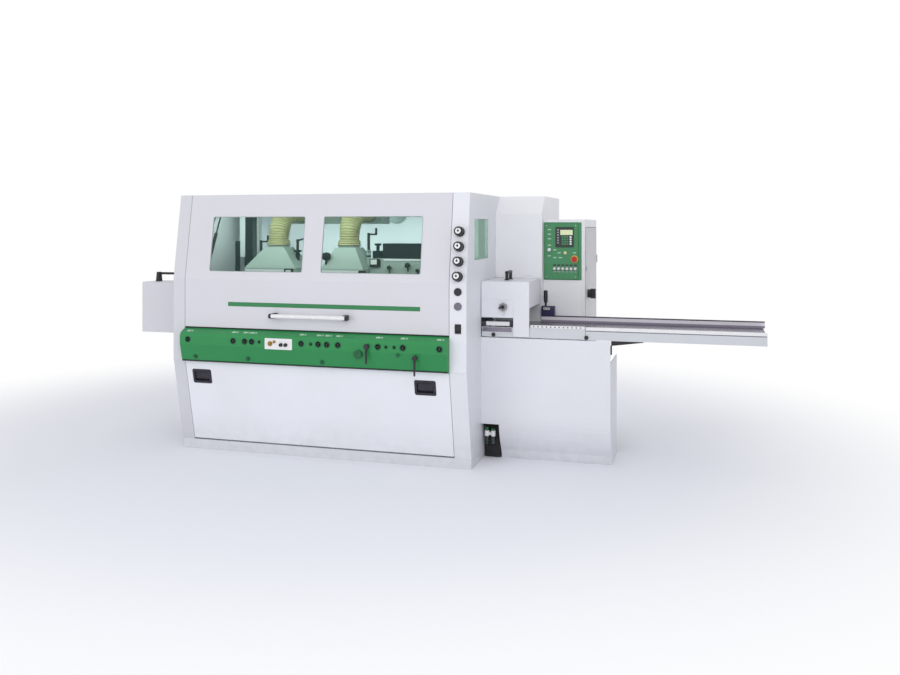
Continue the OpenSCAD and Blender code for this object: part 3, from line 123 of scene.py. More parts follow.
# The Mix node's sockets go by number, because its plain and its colour sockets share their names.
PLAIN_A, PLAIN_B, PLAIN_OUT = 2, 3, 0
COLOUR_A, COLOUR_B, COLOUR_OUT = 6, 7, 2
NOISE_LOW, NOISE_HIGH = 0.3, 0.7  # Nearly all of the noise lies between these values.
EVEN = (1.0, 1.0, 1.0)
EDGE_SAMPLES = 4
# The hose's colour darkens by this attribute: painted shade between the ribs.
GROOVE_SHADE_NAME = "rib_groove_shade"  # Attribute that says how deep a point lies between two ribs of a hose.


@dataclass(frozen=True)
class Finish:
    """A named surface with a colour and a roughness; its kinds add the pattern of the real material."""

    name: str
    colour: str
    roughness: float = 0.5

    def material(self) -> bpy.types.Material:
        """Make the finish's material on first use.

        Returns:
            The material.
        """
        known = bpy.data.materials.get(self.name)
        if known is not None:
            return known
        made = bpy.data.materials.new(self.name)
        made.use_nodes = True
        tree = made.node_tree
        tree.nodes.clear()
        shader = add_node(tree, "ShaderNodeBsdfPrincipled",
                          {"Base Color": linear(self.colour), "Roughness": self.roughness})
        output = add_node(tree, "ShaderNodeOutputMaterial")
        tree.links.new(shader.outputs["BSDF"], output.inputs["Surface"])
        made.diffuse_color = linear(self.colour)
        self.dress(tree, shader)
        return made

    def dress(self, tree: Tree, shader: Node) -> None:
        """Add the pattern of the material; the kinds of finish fill this in."""
        raise NotImplementedError

    def spot(self, tree: Tree, size_mm: float, stretch: Point = EVEN, detail: float = 3.0) -> Socket:
        """Add soft noise on Object coordinates.

        Args:
            tree: The material's tree.
            size_mm: Size of one spot in millimetres.
            stretch: How many times longer a spot is along each axis.
            detail: Octaves of finer noise.

        Returns:
            The noise value, around one half.
        """
        place = add_node(tree, "ShaderNodeTexCoord")
        turned = add_node(tree, "ShaderNodeMapping",
                          {"Vector": place.outputs["Object"], "Scale": tuple(1.0 / s for s in stretch)})
        noise = add_node(tree, "ShaderNodeTexNoise",
                         {"Vector": turned.outputs["Vector"], "Scale": 1.0 / (size_mm * MM),
                          "Detail": detail})
        return noise.outputs["Fac"]

    def patchy(self, tree: Tree, size_mm: float, low: float, high: float, stretch: Point = EVEN) -> Socket:
        """Add soft spots whose value runs from low to high.

        Args:
            tree: The material's tree.
            size_mm: Size of one spot in millimetres.
            low: Value between the spots.
            high: Value in the spots.
            stretch: How many times longer a spot is along each axis.

        Returns:
            The value.
        """
        noise = self.spot(tree, size_mm, stretch)
        ranged = add_node(tree, "ShaderNodeMapRange",
                          {"Value": noise, "From Min": NOISE_LOW, "From Max": NOISE_HIGH,
                           "To Min": low, "To Max": high})
        return ranged.outputs["Result"]

    def mottle(self, tree: Tree, size_mm: float, share: float, other: str,
               base: str | None = None, stretch: Point = EVEN) -> Socket:
        """Mix another colour into the finish's own in soft spots.

        Args:
            tree: The material's tree.
            size_mm: Size of one spot in millimetres.
            share: Most that a spot takes of the other colour.
            other: The other colour, as sRGB hex.
            base: A colour to start from in place of the finish's own, as sRGB hex.
            stretch: How many times longer a spot is along each axis.

        Returns:
            The mixed colour.
        """
        mix = add_node(tree, "ShaderNodeMix",
                       {"Factor": self.patchy(tree, size_mm, 0.0, share, stretch),
                        COLOUR_A: linear(base or self.colour), COLOUR_B: linear(other)}, data_type="RGBA")
        return mix.outputs[COLOUR_OUT]

    def polish(self, tree: Tree, shader: Node, size_mm: float, change: Pair) -> None:
        """Make some patches shinier and others duller.

        Args:
            tree: The material's tree.
            shader: The material's shader.
            size_mm: Size of one patch in millimetres.
            change: Steps from the finish's roughness to its lowest and its highest.
        """
        low, high = self.roughness + change[0], self.roughness + change[1]
        tree.links.new(self.patchy(tree, size_mm, low, high), shader.inputs["Roughness"])

    def relief(self, tree: Tree, shader: Node, height: Socket, strength: float, depth_mm: float,
               edge_mm: float) -> None:
        """Round the edges and raise a fine pattern on the surface.

        Args:
            tree: The material's tree.
            shader: The material's shader.
            height: The pattern.
            strength: How strongly it shows.
            depth_mm: Its depth in millimetres.
            edge_mm: Radius of the edges in millimetres.
        """
        soft = add_node(tree, "ShaderNodeBevel", {"Radius": edge_mm * MM}, samples=EDGE_SAMPLES)
        bump = add_node(tree, "ShaderNodeBump",
                        {"Height": height, "Strength": strength, "Distance": depth_mm * MM,
                         "Normal": soft.outputs["Normal"]})
        tree.links.new(bump.outputs["Normal"], shader.inputs["Normal"])


@dataclass(frozen=True)
class PowderCoat(Finish):
    """Powder-coated sheet steel: satin paint with a faint orange peel, soft bends and dust low down."""

    roughness: float = 0.42
    dust: str = "C9C6C2"
    peel_mm: float = 5.0  # Real peel is about 2 mm, drawn coarser so that it shows.
    edge_mm: float = 2.2  # Bends and cut edges of the sheet are rounded to about the sheet's thickness.
    peel: float = 0.06
    peel_depth_mm: float = 0.6
    cloud_mm: float = 420.0
    cloud: float = 0.16
    sheen_mm: float = 90.0
    sheen: Pair = (-0.05, 0.07)
    soil: str = "8D8A86"
    soil_mm: float = 60.0
    soil_share: float = 0.22
    soil_fleck: Pair = (0.3, 1.0)
    soil_top_mm: float = 280.0  # Dust from the floor reaches up to about here.

    def dress(self, tree: Tree, shader: Node) -> None:
        """Add cloudiness, dust towards the floor, peel and rounded edges.

        Args:
            tree: The material's tree.
            shader: The material's shader.
        """
        tinted = self.mottle(tree, self.cloud_mm, self.cloud, self.dust)
        place = add_node(tree, "ShaderNodeTexCoord")
        axes = add_node(tree, "ShaderNodeSeparateXYZ", {"Vector": place.outputs["Object"]})
        low = add_node(tree, "ShaderNodeMapRange",
                       {"Value": axes.outputs["Z"], "From Min": 0.0, "From Max": self.soil_top_mm * MM,
                        "To Min": self.soil_share, "To Max": 0.0})
        fleck = self.patchy(tree, self.soil_mm, *self.soil_fleck)
        scuffs = add_node(tree, "ShaderNodeMath", {0: low.outputs["Result"], 1: fleck},
                          operation="MULTIPLY")
        dusted = add_node(tree, "ShaderNodeMix",
                          {"Factor": scuffs.outputs[0], COLOUR_A: tinted, COLOUR_B: linear(self.soil)},
                          data_type="RGBA")
        tree.links.new(dusted.outputs[COLOUR_OUT], shader.inputs["Base Color"])
        self.polish(tree, shader, self.sheen_mm, self.sheen)
        peel = self.spot(tree, self.peel_mm)
        self.relief(tree, shader, peel, self.peel, self.peel_depth_mm, self.edge_mm)


@dataclass(frozen=True)
class GroundSteel(Finish):
    """Ground and polished cast iron or steel: long fine streaks that draw reflections out along it."""

    roughness: float = 0.26
    streak: Point = (60.0, 1.0, 1.0)
    streak_mm: float = 2.0  # Grinding marks are under 0.5 mm, drawn coarser so that they show.
    stain: str = "6A6570"
    stain_mm: float = 160.0
    stain_share: float = 0.35
    groove: float = 0.08
    groove_depth_mm: float = 0.4
    edge_mm: float = 1.2
    sheen: Pair = (-0.08, 0.14)
    streak_detail: float = 4.0

    def grinding(self, tree: Tree) -> tuple[Socket, Socket]:
        """Add the grinding streaks.

        Args:
            tree: The material's tree.

        Returns:
            Their height and the roughness that they give.
        """
        marks = self.spot(tree, self.streak_mm, self.streak, self.streak_detail)
        rough = add_node(tree, "ShaderNodeMapRange",
                         {"Value": marks, "From Min": NOISE_LOW, "From Max": NOISE_HIGH,
                          "To Min": self.roughness + self.sheen[0],
                          "To Max": self.roughness + self.sheen[1]})
        return marks, rough.outputs["Result"]

    def dress(self, tree: Tree, shader: Node) -> None:
        """Add grinding streaks, oily stains and a slightly worn edge.

        Args:
            tree: The material's tree.
            shader: The material's shader.
        """
        shader.inputs["Metallic"].default_value = 1.0
        marks, rough = self.grinding(tree)
        stained = self.mottle(tree, self.stain_mm, self.stain_share, self.stain)
        tree.links.new(stained, shader.inputs["Base Color"])
        tree.links.new(rough, shader.inputs["Roughness"])
        self.relief(tree, shader, marks, self.groove, self.groove_depth_mm, self.edge_mm)


@dataclass(frozen=True)
class CastTable(GroundSteel):
    """Cast iron table: a ground top that mirrors the room, over sides painted like the covers."""

    groove: float = 0.06
    edge_mm: float = 1.4
    paint: str = "C9CCD0"
    paint_roughness: float = 0.42
    worn_paint: str = "A9ABAF"
    worn_mm: float = 300.0
    worn_share: float = 0.12
    low_mm: float = 811.0  # Below this height lies the table's black gusset, or the fence's bare foot.
    low_colour: str = "1C1A20"
    cap_mm: float = 2000.0  # Above this height every face is bare.
    blur_mm: float = 0.6
    upward: Pair = (0.6, 0.7)  # Where the normal rises past these, paint gives way to ground metal.

    def above(self, tree: Tree, level_mm: float) -> Socket:
        """Add the test for points above a height.

        Args:
            tree: The material's tree.
            level_mm: The height in millimetres.

        Returns:
            One above the height and zero below it.
        """
        place = add_node(tree, "ShaderNodeTexCoord")
        axes = add_node(tree, "ShaderNodeSeparateXYZ", {"Vector": place.outputs["Object"]})
        step = add_node(tree, "ShaderNodeMapRange",
                        {"Value": axes.outputs["Z"], "From Min": (level_mm - self.blur_mm) * MM,
                         "From Max": (level_mm + self.blur_mm) * MM})
        return step.outputs["Result"]

    def dress(self, tree: Tree, shader: Node) -> None:
        """Grind the faces that look up, paint the others and tone the lowest part.

        Args:
            tree: The material's tree.
            shader: The material's shader.
        """
        looks = add_node(tree, "ShaderNodeNewGeometry")
        axes = add_node(tree, "ShaderNodeSeparateXYZ", {"Vector": looks.outputs["True Normal"]})
        top = add_node(tree, "ShaderNodeMapRange",
                       {"Value": axes.outputs["Z"], "From Min": self.upward[0], "From Max": self.upward[1]})
        cap = self.above(tree, self.cap_mm)
        bare = add_node(tree, "ShaderNodeMath", {0: top.outputs["Result"], 1: cap},
                        operation="MAXIMUM").outputs[0]
        marks, ground = self.grinding(tree)
        steel = self.mottle(tree, self.stain_mm, self.stain_share, self.stain)
        clean = self.mottle(tree, self.worn_mm, self.worn_share, self.worn_paint, self.paint)
        side = add_node(tree, "ShaderNodeMix",
                        {"Factor": self.above(tree, self.low_mm), COLOUR_A: linear(self.low_colour),
                         COLOUR_B: clean}, data_type="RGBA")
        both = add_node(tree, "ShaderNodeMix",
                        {"Factor": bare, COLOUR_A: side.outputs[COLOUR_OUT], COLOUR_B: steel},
                        data_type="RGBA")
        tree.links.new(both.outputs[COLOUR_OUT], shader.inputs["Base Color"])
        tree.links.new(bare, shader.inputs["Metallic"])
        gloss = add_node(tree, "ShaderNodeMix",
                         {"Factor": bare, PLAIN_A: self.paint_roughness, PLAIN_B: ground})
        tree.links.new(gloss.outputs[PLAIN_OUT], shader.inputs["Roughness"])
        self.relief(tree, shader, marks, self.groove, self.groove_depth_mm, self.edge_mm)


@dataclass(frozen=True)
class MouldedPlastic(Finish):
    """Moulded plastic: an even colour with a fine leathery grain and slightly shinier worn patches."""

    roughness: float = 0.48
    grain_mm: float = 2.4  # Spark-eroded grain is about 0.3 mm, drawn coarser so that it shows.
    grain: float = 0.12
    rub: str = "3A3A40"
    rub_mm: float = 45.0
    rub_share: float = 0.3
    sheen_mm: float = 30.0
    sheen: Pair = (-0.1, 0.06)
    grain_depth_mm: float = 0.5
    edge_mm: float = 1.5

    def dress(self, tree: Tree, shader: Node) -> None:
        """Add the moulded grain, hand polish and a softened edge.

        Args:
            tree: The material's tree.
            shader: The material's shader.
        """
        rubbed = self.mottle(tree, self.rub_mm, self.rub_share, self.rub)
        tree.links.new(rubbed, shader.inputs["Base Color"])
        self.polish(tree, shader, self.sheen_mm, self.sheen)
        leather = self.spot(tree, self.grain_mm)
        self.relief(tree, shader, leather, self.grain, self.grain_depth_mm, self.edge_mm)


@dataclass(frozen=True)
class TintedSheet(Finish):
    """Green-tinted polycarbonate sheet: clear enough to see through, with a mirror-like outer face."""

    roughness: float = 0.06
    alpha: float = 0.3
    haze: str = "2F6E58"
    haze_mm: float = 80.0
    haze_share: float = 0.3
    wiping: Point = (1.0, 1.0, 3.0)
    sheen_mm: float = 40.0
    sheen: Pair = (0.0, 0.09)
    ior: float = 1.58

    def dress(self, tree: Tree, shader: Node) -> None:
        """Add the see-through tint with faint wiping marks.

        Args:
            tree: The material's tree.
            shader: The material's shader.
        """
        shader.inputs["IOR"].default_value = self.ior
        shader.inputs["Alpha"].default_value = self.alpha
        hazy = self.mottle(tree, self.haze_mm, self.haze_share, self.haze, stretch=self.wiping)
        tree.links.new(hazy, shader.inputs["Base Color"])
        self.polish(tree, shader, self.sheen_mm, self.sheen)


@dataclass(frozen=True)
class HoseWall(Finish):
    """Thin polyurethane suction hose: waxy and yellowish, with patches of dust, and darker between the ribs
    by painted shade.
    """

    roughness: float = 0.38
    # The dust colour also serves as the painted shade between the ribs.
    dust: str = "968D62"
    dust_mm: float = 55.0
    dust_share: float = 0.4
    sheen_mm: float = 14.0
    sheen: Pair = (-0.08, 0.1)
    glow: float = 0.15
    glow_mm: Point = (12.0, 10.0, 5.0)
    ior: float = 1.5

    def dress(self, tree: Tree, shader: Node) -> None:
        """Add the waxy glow, patches of wood dust and painted shade between the ribs.

        Args:
            tree: The material's tree.
            shader: The material's shader.
        """
        shader.inputs["Subsurface Weight"].default_value = self.glow
        shader.inputs["Subsurface Radius"].default_value = tuple(v * MM for v in self.glow_mm)
        shader.inputs["IOR"].default_value = self.ior
        dusty = self.patchy(tree, self.dust_mm, 0.0, self.dust_share)
        # Painted shade: the grooves between the ribs take the dust colour.
        groove = add_node(tree, "ShaderNodeAttribute", attribute_name=GROOVE_SHADE_NAME).outputs["Fac"]
        dust_and_groove_shade = add_node(tree, "ShaderNodeMath", {0: dusty, 1: groove}, operation="MAXIMUM").outputs[0]
        mix = add_node(tree, "ShaderNodeMix",
                       {"Factor": dust_and_groove_shade, COLOUR_A: linear(self.colour), COLOUR_B: linear(self.dust)},
                       data_type="RGBA")
        tree.links.new(mix.outputs[COLOUR_OUT], shader.inputs["Base Color"])
        self.polish(tree, shader, self.sheen_mm, self.sheen)


@dataclass(frozen=True)
class Foil(Finish):
    """Printed polyester foil: a flat print under a finely matted clear face."""

    roughness: float = 0.4
    glow: float = 0.0
    blotch: str = "707070"
    blotch_mm: float = 12.0
    blotch_share: float = 0.14
    sheen_mm: float = 6.0
    sheen: Pair = (-0.06, 0.08)

    def dress(self, tree: Tree, shader: Node) -> None:
        """Add the uneven print, the matted face and, on a lit display, its glow.

        Args:
            tree: The material's tree.
            shader: The material's shader.
        """
        print_colour = self.mottle(tree, self.blotch_mm, self.blotch_share, self.blotch)
        tree.links.new(print_colour, shader.inputs["Base Color"])
        self.polish(tree, shader, self.sheen_mm, self.sheen)
        if self.glow:
            shader.inputs["Emission Color"].default_value = linear(self.colour)
            shader.inputs["Emission Strength"].default_value = self.glow


# Powder coat on sheet steel: satin and cool light grey, with soft bends that catch a line of light.
HOOD_PAINT = PowderCoat("powder_coat_light_grey", "D0D0D6")
# The same coat a step paler, on the guard, the console and the right-hand column.
PALE_PAINT = PowderCoat("powder_coat_pale_grey", "DEE0E6")
# The same coat nearly white, on the flap, which leans towards the floor: painted light, lightened because
# the flap faces down and takes less light.
FLAP_LIGHTENED_PAINT = PowderCoat("powder_coat_flap_painted_light", "E6E8EE")
# The palest coat, which makes the rear housing read as white: painted light, lightened so that the
# housing's recessed front, which takes less light, matches the hood.
HOUSING_LIGHTENED_PAINT = PowderCoat("powder_coat_housing_painted_light", "EBECF0")
# Pale coat of the control cabinet, a shade under the housing's: painted light, lightened so that the
# cabinet's front stays bright in the shade of the guard.
CABINET_LIGHTENED_PAINT = PowderCoat("powder_coat_cabinet_painted_light", "E9EAEE")
# Mid grey coat, which sets doors and covers off from their walls.
DOOR_PAINT = PowderCoat("powder_coat_door_grey", "C5C6CA")
# Light grey coat of the left cheek, a shade under the hood's: painted shade, darkened because the cheek's
# angled front reads greyer than the hood.
CHEEK_SHADED_PAINT = PowderCoat("powder_coat_cheek_painted_shade", "CCCDD3")
# Duller coat of the base frame, which takes the light softly.
PLINTH_PAINT = PowderCoat("powder_coat_plinth_grey", "D6D8DE", 0.5, "CBCCD2")
# Leaf green coat of the belt: saturated, and glossier than the greys.
BELT_PAINT = PowderCoat("powder_coat_leaf_green", "208246", 0.36, "319150")
# Quieter green of the stripe on the hood.
STRIPE_PAINT = PowderCoat("powder_coat_stripe_green", "2D7A49", 0.4, "3A8656")
# Dark green enamel: glossy rings, caps and bolts that stay part of the belt.
SOCKET_PAINT = PowderCoat("enamel_dark_green", "0E5631", 0.34, "1A6A40", 4.0, 1.0)
# Navy enamel on motors and columns: nearly black, with a soft shine along the edges.
NAVY_ENAMEL = PowderCoat("enamel_navy_blue", "0D121E", 0.36, "161D2B", 5.0, 1.6)
# Violet blue enamel, which singles out the fence setter.
SETTER_ENAMEL = PowderCoat("enamel_violet_blue", "25214A", 0.34, "322E5C", 4.0, 1.4)
# Machine enamel: greyish green and half matt, on the beam and the suction fittings.
MACHINE_ENAMEL = PowderCoat("enamel_machine_grey", "A4B2AC", 0.44, "8F9A94", 5.0, 1.6)
# Ground cast iron: a dark mirror with long streaks and oily clouds.
BED_STEEL = GroundSteel("cast_iron_ground", "9A95A2")
# Cast iron ground on top and painted on its sides: dark gloss over a pale front.
TABLE_STEEL = CastTable("cast_iron_ground_and_painted", "8E8996", 0.22)
# Extruded aluminium: pale sides and a bare foot under a dark shiny top, partly the metal and partly painted
# shade for the shaded groove along the fence's top.
FENCE_ALUMINIUM = CastTable("aluminium_extruded_painted_shade_top", "3A3840", 0.3, paint="D6D3DB",
                            paint_roughness=0.34, low_mm=892.0, low_colour="827C8A", cap_mm=914.0)
# Ground steel of the strip on the table's front: a soft grey gleam.
STEEL_STRIP = GroundSteel("steel_ground", "8F8A98", 0.3)
# Nitrided steel: dark, hard and smooth.
NITRIDED = GroundSteel("steel_nitrided_dark", "4A4D50", 0.3, (1.0, 1.0, 6.0), 1.5, "3A3C3E")
# Turned steel: bright and finely streaked.
TURNED_STEEL = GroundSteel("steel_turned", "B4B4B8", 0.24, (1.0, 1.0, 6.0), 1.5, "86858A")
# Zinc-plated steel: bluish and bright, with a dull cloud.
ZINC = GroundSteel("steel_zinc_plated", "B9BCC2", 0.32, EVEN, 3.0, "8A8D90")
# Grained black ABS: deep black, a little polished where hands go.
BLACK_ABS = MouldedPlastic("abs_black_grained", "17171B")
# Lilac grey rubber: soft, matt joints and the lower plug; on the table's rail its discs are painted shade
# for holes.
GREY_TRIM = MouldedPlastic("rubber_lilac_grey", "6E6976", 0.6, 2.0, 0.08, "827C8A")
# Black rubber: matt seals that read as dark lines; its strips along the belt's edges and its plate in the
# console's cut-out are painted shade.
SOFT_BLACK = MouldedPlastic("rubber_black_matt", "1B1B1E", 0.68, 2.0, 0.1, "2B2B2E")
# Aubergine black ABS of latches and levers: dark, with a violet sheen.
DARK_TRIM = MouldedPlastic("abs_aubergine_black", "232029", 0.42, 2.4, 0.1, "393544")
# Mid grey ABS: a neutral knob that stands out on the pale guard.
GREY_ABS = MouldedPlastic("abs_mid_grey", "8B8C92", 0.45, 2.4, 0.1, "7A7B80")
# White ABS: smooth, with clean highlights.
WHITE_ABS = MouldedPlastic("abs_white_gloss", "E4E4E6", 0.26, 3.0, 0.04, "D6D6D4")
# Cream ABS of one lamp: a warm, glossy spot.
CREAM_ABS = MouldedPlastic("abs_cream_gloss", "E4DDB4", 0.3, 3.0, 0.05, "D2C998")
# Signal red ABS: the strongest colour on the machine.
RED_ABS = MouldedPlastic("abs_signal_red", "B41A1C", 0.3, 3.0, 0.05, "C23A34")
# Yellow ABS: a bright ring behind the stop.
YELLOW_ABS = MouldedPlastic("abs_yellow", "D8B63C", 0.36, 3.0, 0.05, "C7A12E")
# Green-tinted polycarbonate: glassy windows through which the room shows.
TINTED_PANE = TintedSheet("polycarbonate_green_tint", "123F34", 0.05, 0.2, "1F5546")
# Denser tint of the side window: milky green, hardly showing the room.
SIDE_PANE = TintedSheet("polycarbonate_deep_green_tint", "7FB496", 0.07, 0.62, "8FC0A4")
# Smoked polycarbonate bowls: dim, with a glassy shine.
BOWL = TintedSheet("polycarbonate_smoked_bowl", "3C4644", 0.08, 0.6, "4A5452")
# Turned brass: warm and softly worn.
BRASS = GroundSteel("brass_turned", "B08A4A", 0.3, EVEN, 2.0, "8A6A34")
# Polyurethane hose: waxy yellow, dusty in patches, with painted shade in its grooves.
HOSE = HoseWall("polyurethane_hose", "C3C096")
# Green printed foil: the flat, matted face of the operator panel.
PANEL_FOIL = Foil("polyester_foil_green", "3F8A5A", 0.42)
# Dark printed foil: near black and half glossy, behind the display and on labels and ticks.
DARK_FOIL = Foil("polyester_foil_dark", "1F2A2A", 0.3)
# Pale yellow display with a faint glow.
DISPLAY = Foil("display_pale_yellow", "D9E2B4", 0.22, 0.12)
# White screen print: flat and matt.
WHITE_INK = Foil("screen_print_white", "ECEFEA", 0.5)
# Pale green screen print, as white ink looks when it is thin on green.
PALE_INK = Foil("screen_print_pale_green", "A9CDB4", 0.5)
# Grey screen print: flat and matt.
GREY_INK = Foil("screen_print_grey", "9FA3A6", 0.5)
# Grey rubber: a thin matt line round each window.
SEAL_GREY = MouldedPlastic("rubber_grey_matt", "93A09C", 0.6, 2.0, 0.08, "7F8B88")
# Unlit inside of slots: nearly black and without shine.
DARK_VOID = Foil("unlit_duct_interior", "0E0F10", 0.85)

NODE_FINISH: dict[str, Finish] = {
    "hood_shell": HOOD_PAINT, "rear_housing": HOUSING_LIGHTENED_PAINT, "guard_box": PALE_PAINT,
    "guard_plate": PALE_PAINT, "outfeed_guard": HOOD_PAINT, "control_cabinet": CABINET_LIGHTENED_PAINT,
    "left_cheek": CHEEK_SHADED_PAINT, "right_cheek": PALE_PAINT, "flap_panel": FLAP_LIGHTENED_PAINT,
    "infeed_console": PALE_PAINT, "base_frame": PLINTH_PAINT, "control_strip": BELT_PAINT,
    "operator_panel": PANEL_FOIL, "support_columns": NAVY_ENAMEL, "spindle_motors": NAVY_ENAMEL,
    "feed_motor": NAVY_ENAMEL, "fence_setter": SETTER_ENAMEL, "machine_table": BED_STEEL,
    "infeed_table": TABLE_STEEL, "table_extension": TABLE_STEEL, "infeed_fence": FENCE_ALUMINIUM,
    "adjuster_spindles": NITRIDED, "strut_rods": NITRIDED, "guard_knob": GREY_ABS,
    "bottom_spindle": TURNED_STEEL, "right_spindle": TURNED_STEEL, "left_spindle": TURNED_STEEL,
    "top_spindle": TURNED_STEEL, "feed_roller_front": TURNED_STEEL, "feed_roller_rear": TURNED_STEEL,
    "suction_fittings": MACHINE_ENAMEL, "feed_beam": MACHINE_ENAMEL, "suction_hoses": HOSE,
    "window_panes": TINTED_PANE, "side_window_pane": SIDE_PANE, "hood_handle": WHITE_ABS,
    "stop_button": RED_ABS, "latch_trays": DARK_TRIM, "latch_paddle_left": DARK_TRIM,
    "latch_paddle_right": DARK_TRIM, "clamp_lever_right": DARK_TRIM, "clamp_lever_left": DARK_TRIM,
}


# Meshes in millimetres


def mid(pair: Pair) -> float:
    """Return the middle of a range."""
    return sum(pair) / 2


def span(pair: Pair) -> float:
    """Return the length of a range."""
    return pair[1] - pair[0]


def facing(origin: Point, normal: Point, up: Point = (0.0, 0.0, 1.0)) -> Matrix:
    """Give the frame of a face: x to the right, y up and z outwards, seen from in front.

    Args:
        origin: A point on the face, in millimetres.
        normal: Direction out of the face.
        up: Direction along the face that counts as up.

    Returns:
        The matrix from the face's own millimetres to the object's.
    """
    out = Vector(normal).normalized()
    side = Vector(up).cross(out).normalized()
    rise = out.cross(side)
    turned = Matrix((side, rise, out)).transposed().to_4x4()
    turned.translation = Vector(origin)
    return turned


def rounded(w: float, h: float, r: float, steps: int = 5) -> list[Pair]:
    """Give the outline of a rectangle with round corners about its middle.

    Args:
        w: Width.
        h: Height.
        r: Corner radius.
        steps: Straight pieces in each corner.

    Returns:
        Points in anticlockwise order.
    """
    r = max(0.05, min(r, w / 2 - 0.01, h / 2 - 0.01))
    points = []
    for quarter, (sx, sy) in enumerate(((1, 1), (-1, 1), (-1, -1), (1, -1))):
        for i in range(steps + 1):
            turn = math.radians(90.0 * quarter + 90.0 * i / steps)
            points.append((sx * (w / 2 - r) + r * math.cos(turn), sy * (h / 2 - r) + r * math.sin(turn)))
    return points


def lobes(count: int, depth: float) -> Callable[[float], float]:
    """Give the factor on a radius that makes a lobed grip.

    Args:
        count: How many lobes there are.
        depth: How far they stand out, as a share of the radius.

    Returns:
        A function from the angle to the factor.
    """
    return lambda angle: 1.0 + depth * math.cos(count * angle)


class Piece:
    """A mesh under construction in millimetres that becomes one object on one body."""

    def __init__(self, name: str, finish: Finish, body: str, slot: str | None = None) -> None:
        """Start an empty piece.

        Args:
            name: The object's name.
            finish: The surface of the whole piece.
            body: The body that it rides on.
            slot: The record's material slot, where one fits; not used.
        """
        self.name, self.finish, self.body, self.slot = name, finish, body, slot
        self.bm = bmesh.new()

    def loft(self, loops: Sequence[Sequence[Vector]], ring: bool = False) -> None:
        """Join equal loops of points into a closed skin.

        Args:
            loops: Loops of points in order, each with the same count.
            ring: True joins the last loop to the first; otherwise both ends get a face.
        """
        rows = [[self.bm.verts.new(p) for p in loop] for loop in loops]
        count = len(rows[0])
        pairs = list(zip(rows, rows[1:])) + ([(rows[-1], rows[0])] if ring else [])
        for low, high in pairs:
            for i in range(count):
                self.bm.faces.new((low[i], low[(i + 1) % count], high[(i + 1) % count], high[i]))
        if not ring:
            self.bm.faces.new(list(reversed(rows[0])))
            self.bm.faces.new(rows[-1])

    def plate(self, frame: Matrix, at: Pair, size: Pair, thick: float, r: float = 2.0, edge: float = 0.8,
              base: float = 0.0) -> None:
        """Add a plate with round corners and a chamfered front edge.

        Args:
            frame: The face it lies on.
            at: Its middle on the face.
            size: Width and height.
            thick: Thickness.
            r: Corner radius.
            edge: Width of the chamfer.
            base: Height of its back over the face.
        """
        loops = []
        for inset, z in ((0.0, base), (0.0, base + thick - edge), (edge, base + thick)):
            outline = rounded(size[0] - 2 * inset, size[1] - 2 * inset, max(r - inset, 0.2))
            loops.append([frame @ Vector((at[0] + x, at[1] + y, z)) for x, y in outline])
        self.loft(loops)

    def rim(self, frame: Matrix, at: Pair, size: Pair, width: float, thick: float, r: float,
            base: float = 0.0) -> None:
        """Add a strip round an opening.

        Args:
            frame: The face it lies on.
            at: Middle of the opening on the face.
            size: Width and height of the opening.
            width: Width of the strip.
            thick: Thickness of the strip.
            r: Corner radius of the opening.
            base: Height of its back over the face.
        """
        loops = []
        for grow, z in ((width, base), (width, base + thick * 0.6), (width * 0.7, base + thick),
                        (width * 0.3, base + thick), (0.0, base + thick * 0.6), (0.0, base)):
            outline = rounded(size[0] + 2 * grow, size[1] + 2 * grow, r + grow)
            loops.append([frame @ Vector((at[0] + x, at[1] + y, z)) for x, y in outline])
        self.loft(loops, ring=True)

    def turn(self, frame: Matrix, profile: Sequence[Pair], segments: int = 32,
             wave: Callable[[float], float] | None = None) -> None:
        """Add a turned solid about the frame's z axis.

        Args:
            frame: Place and axis.
            profile: Radius and height of each ring, from one end to the other.
            segments: Points in a ring.
            wave: Factor on the radius by angle, for a lobed grip.
        """
        loops = []
        for r, z in profile:
            loop = []
            for i in range(segments):
                angle = 2 * math.pi * i / segments
                grown = max(r, 0.05) * (wave(angle) if wave else 1.0)
                loop.append(frame @ Vector((grown * math.cos(angle), grown * math.sin(angle), z)))
            loops.append(loop)
        self.loft(loops)

    def tube(self, path: Sequence[Point], r: float, segments: int = 16) -> None:
        """Add a round bar along a path.

        Args:
            path: Points of its middle line.
            r: Radius.
            segments: Points round it.
        """
        points = [Vector(p) for p in path]
        side = Vector((0.0, 0.0, 0.0))
        loops = []
        for i, point in enumerate(points):
            along = (points[min(i + 1, len(points) - 1)] - points[max(i - 1, 0)]).normalized()
            if side.length == 0.0:
                side = along.orthogonal().normalized()
            side = (side - along * side.dot(along)).normalized()
            up = along.cross(side)
            loops.append([point + r * (math.cos(a) * side + math.sin(a) * up)
                          for a in (2 * math.pi * k / segments for k in range(segments))])
        self.loft(loops)

    def prism(self, outline: Sequence[Pair], x0: float, x1: float) -> None:
        """Add a bar along X.

        Args:
            outline: Y and Z of its cross-section.
            x0: One end.
            x1: Other end.
        """
        self.loft([[Vector((x, y, z)) for y, z in outline] for x in (x0, x1)])

    def box(self, low: Point, high: Point, edge: float = 1.0) -> None:
        """Add a block with chamfered edges on top and bottom and round upright corners.

        Args:
            low: Lowest corner.
            high: Highest corner.
            edge: Size of the chamfer.
        """
        w, d = high[0] - low[0], high[1] - low[1]
        middle = ((low[0] + high[0]) / 2, (low[1] + high[1]) / 2)
        loops = []
        for inset, z in ((edge, low[2]), (0.0, low[2] + edge), (0.0, high[2] - edge), (edge, high[2])):
            outline = rounded(w - 2 * inset, d - 2 * inset, max(2 * edge - inset, 0.2), 3)
            loops.append([Vector((middle[0] + x, middle[1] + y, z)) for x, y in outline])
        self.loft(loops)

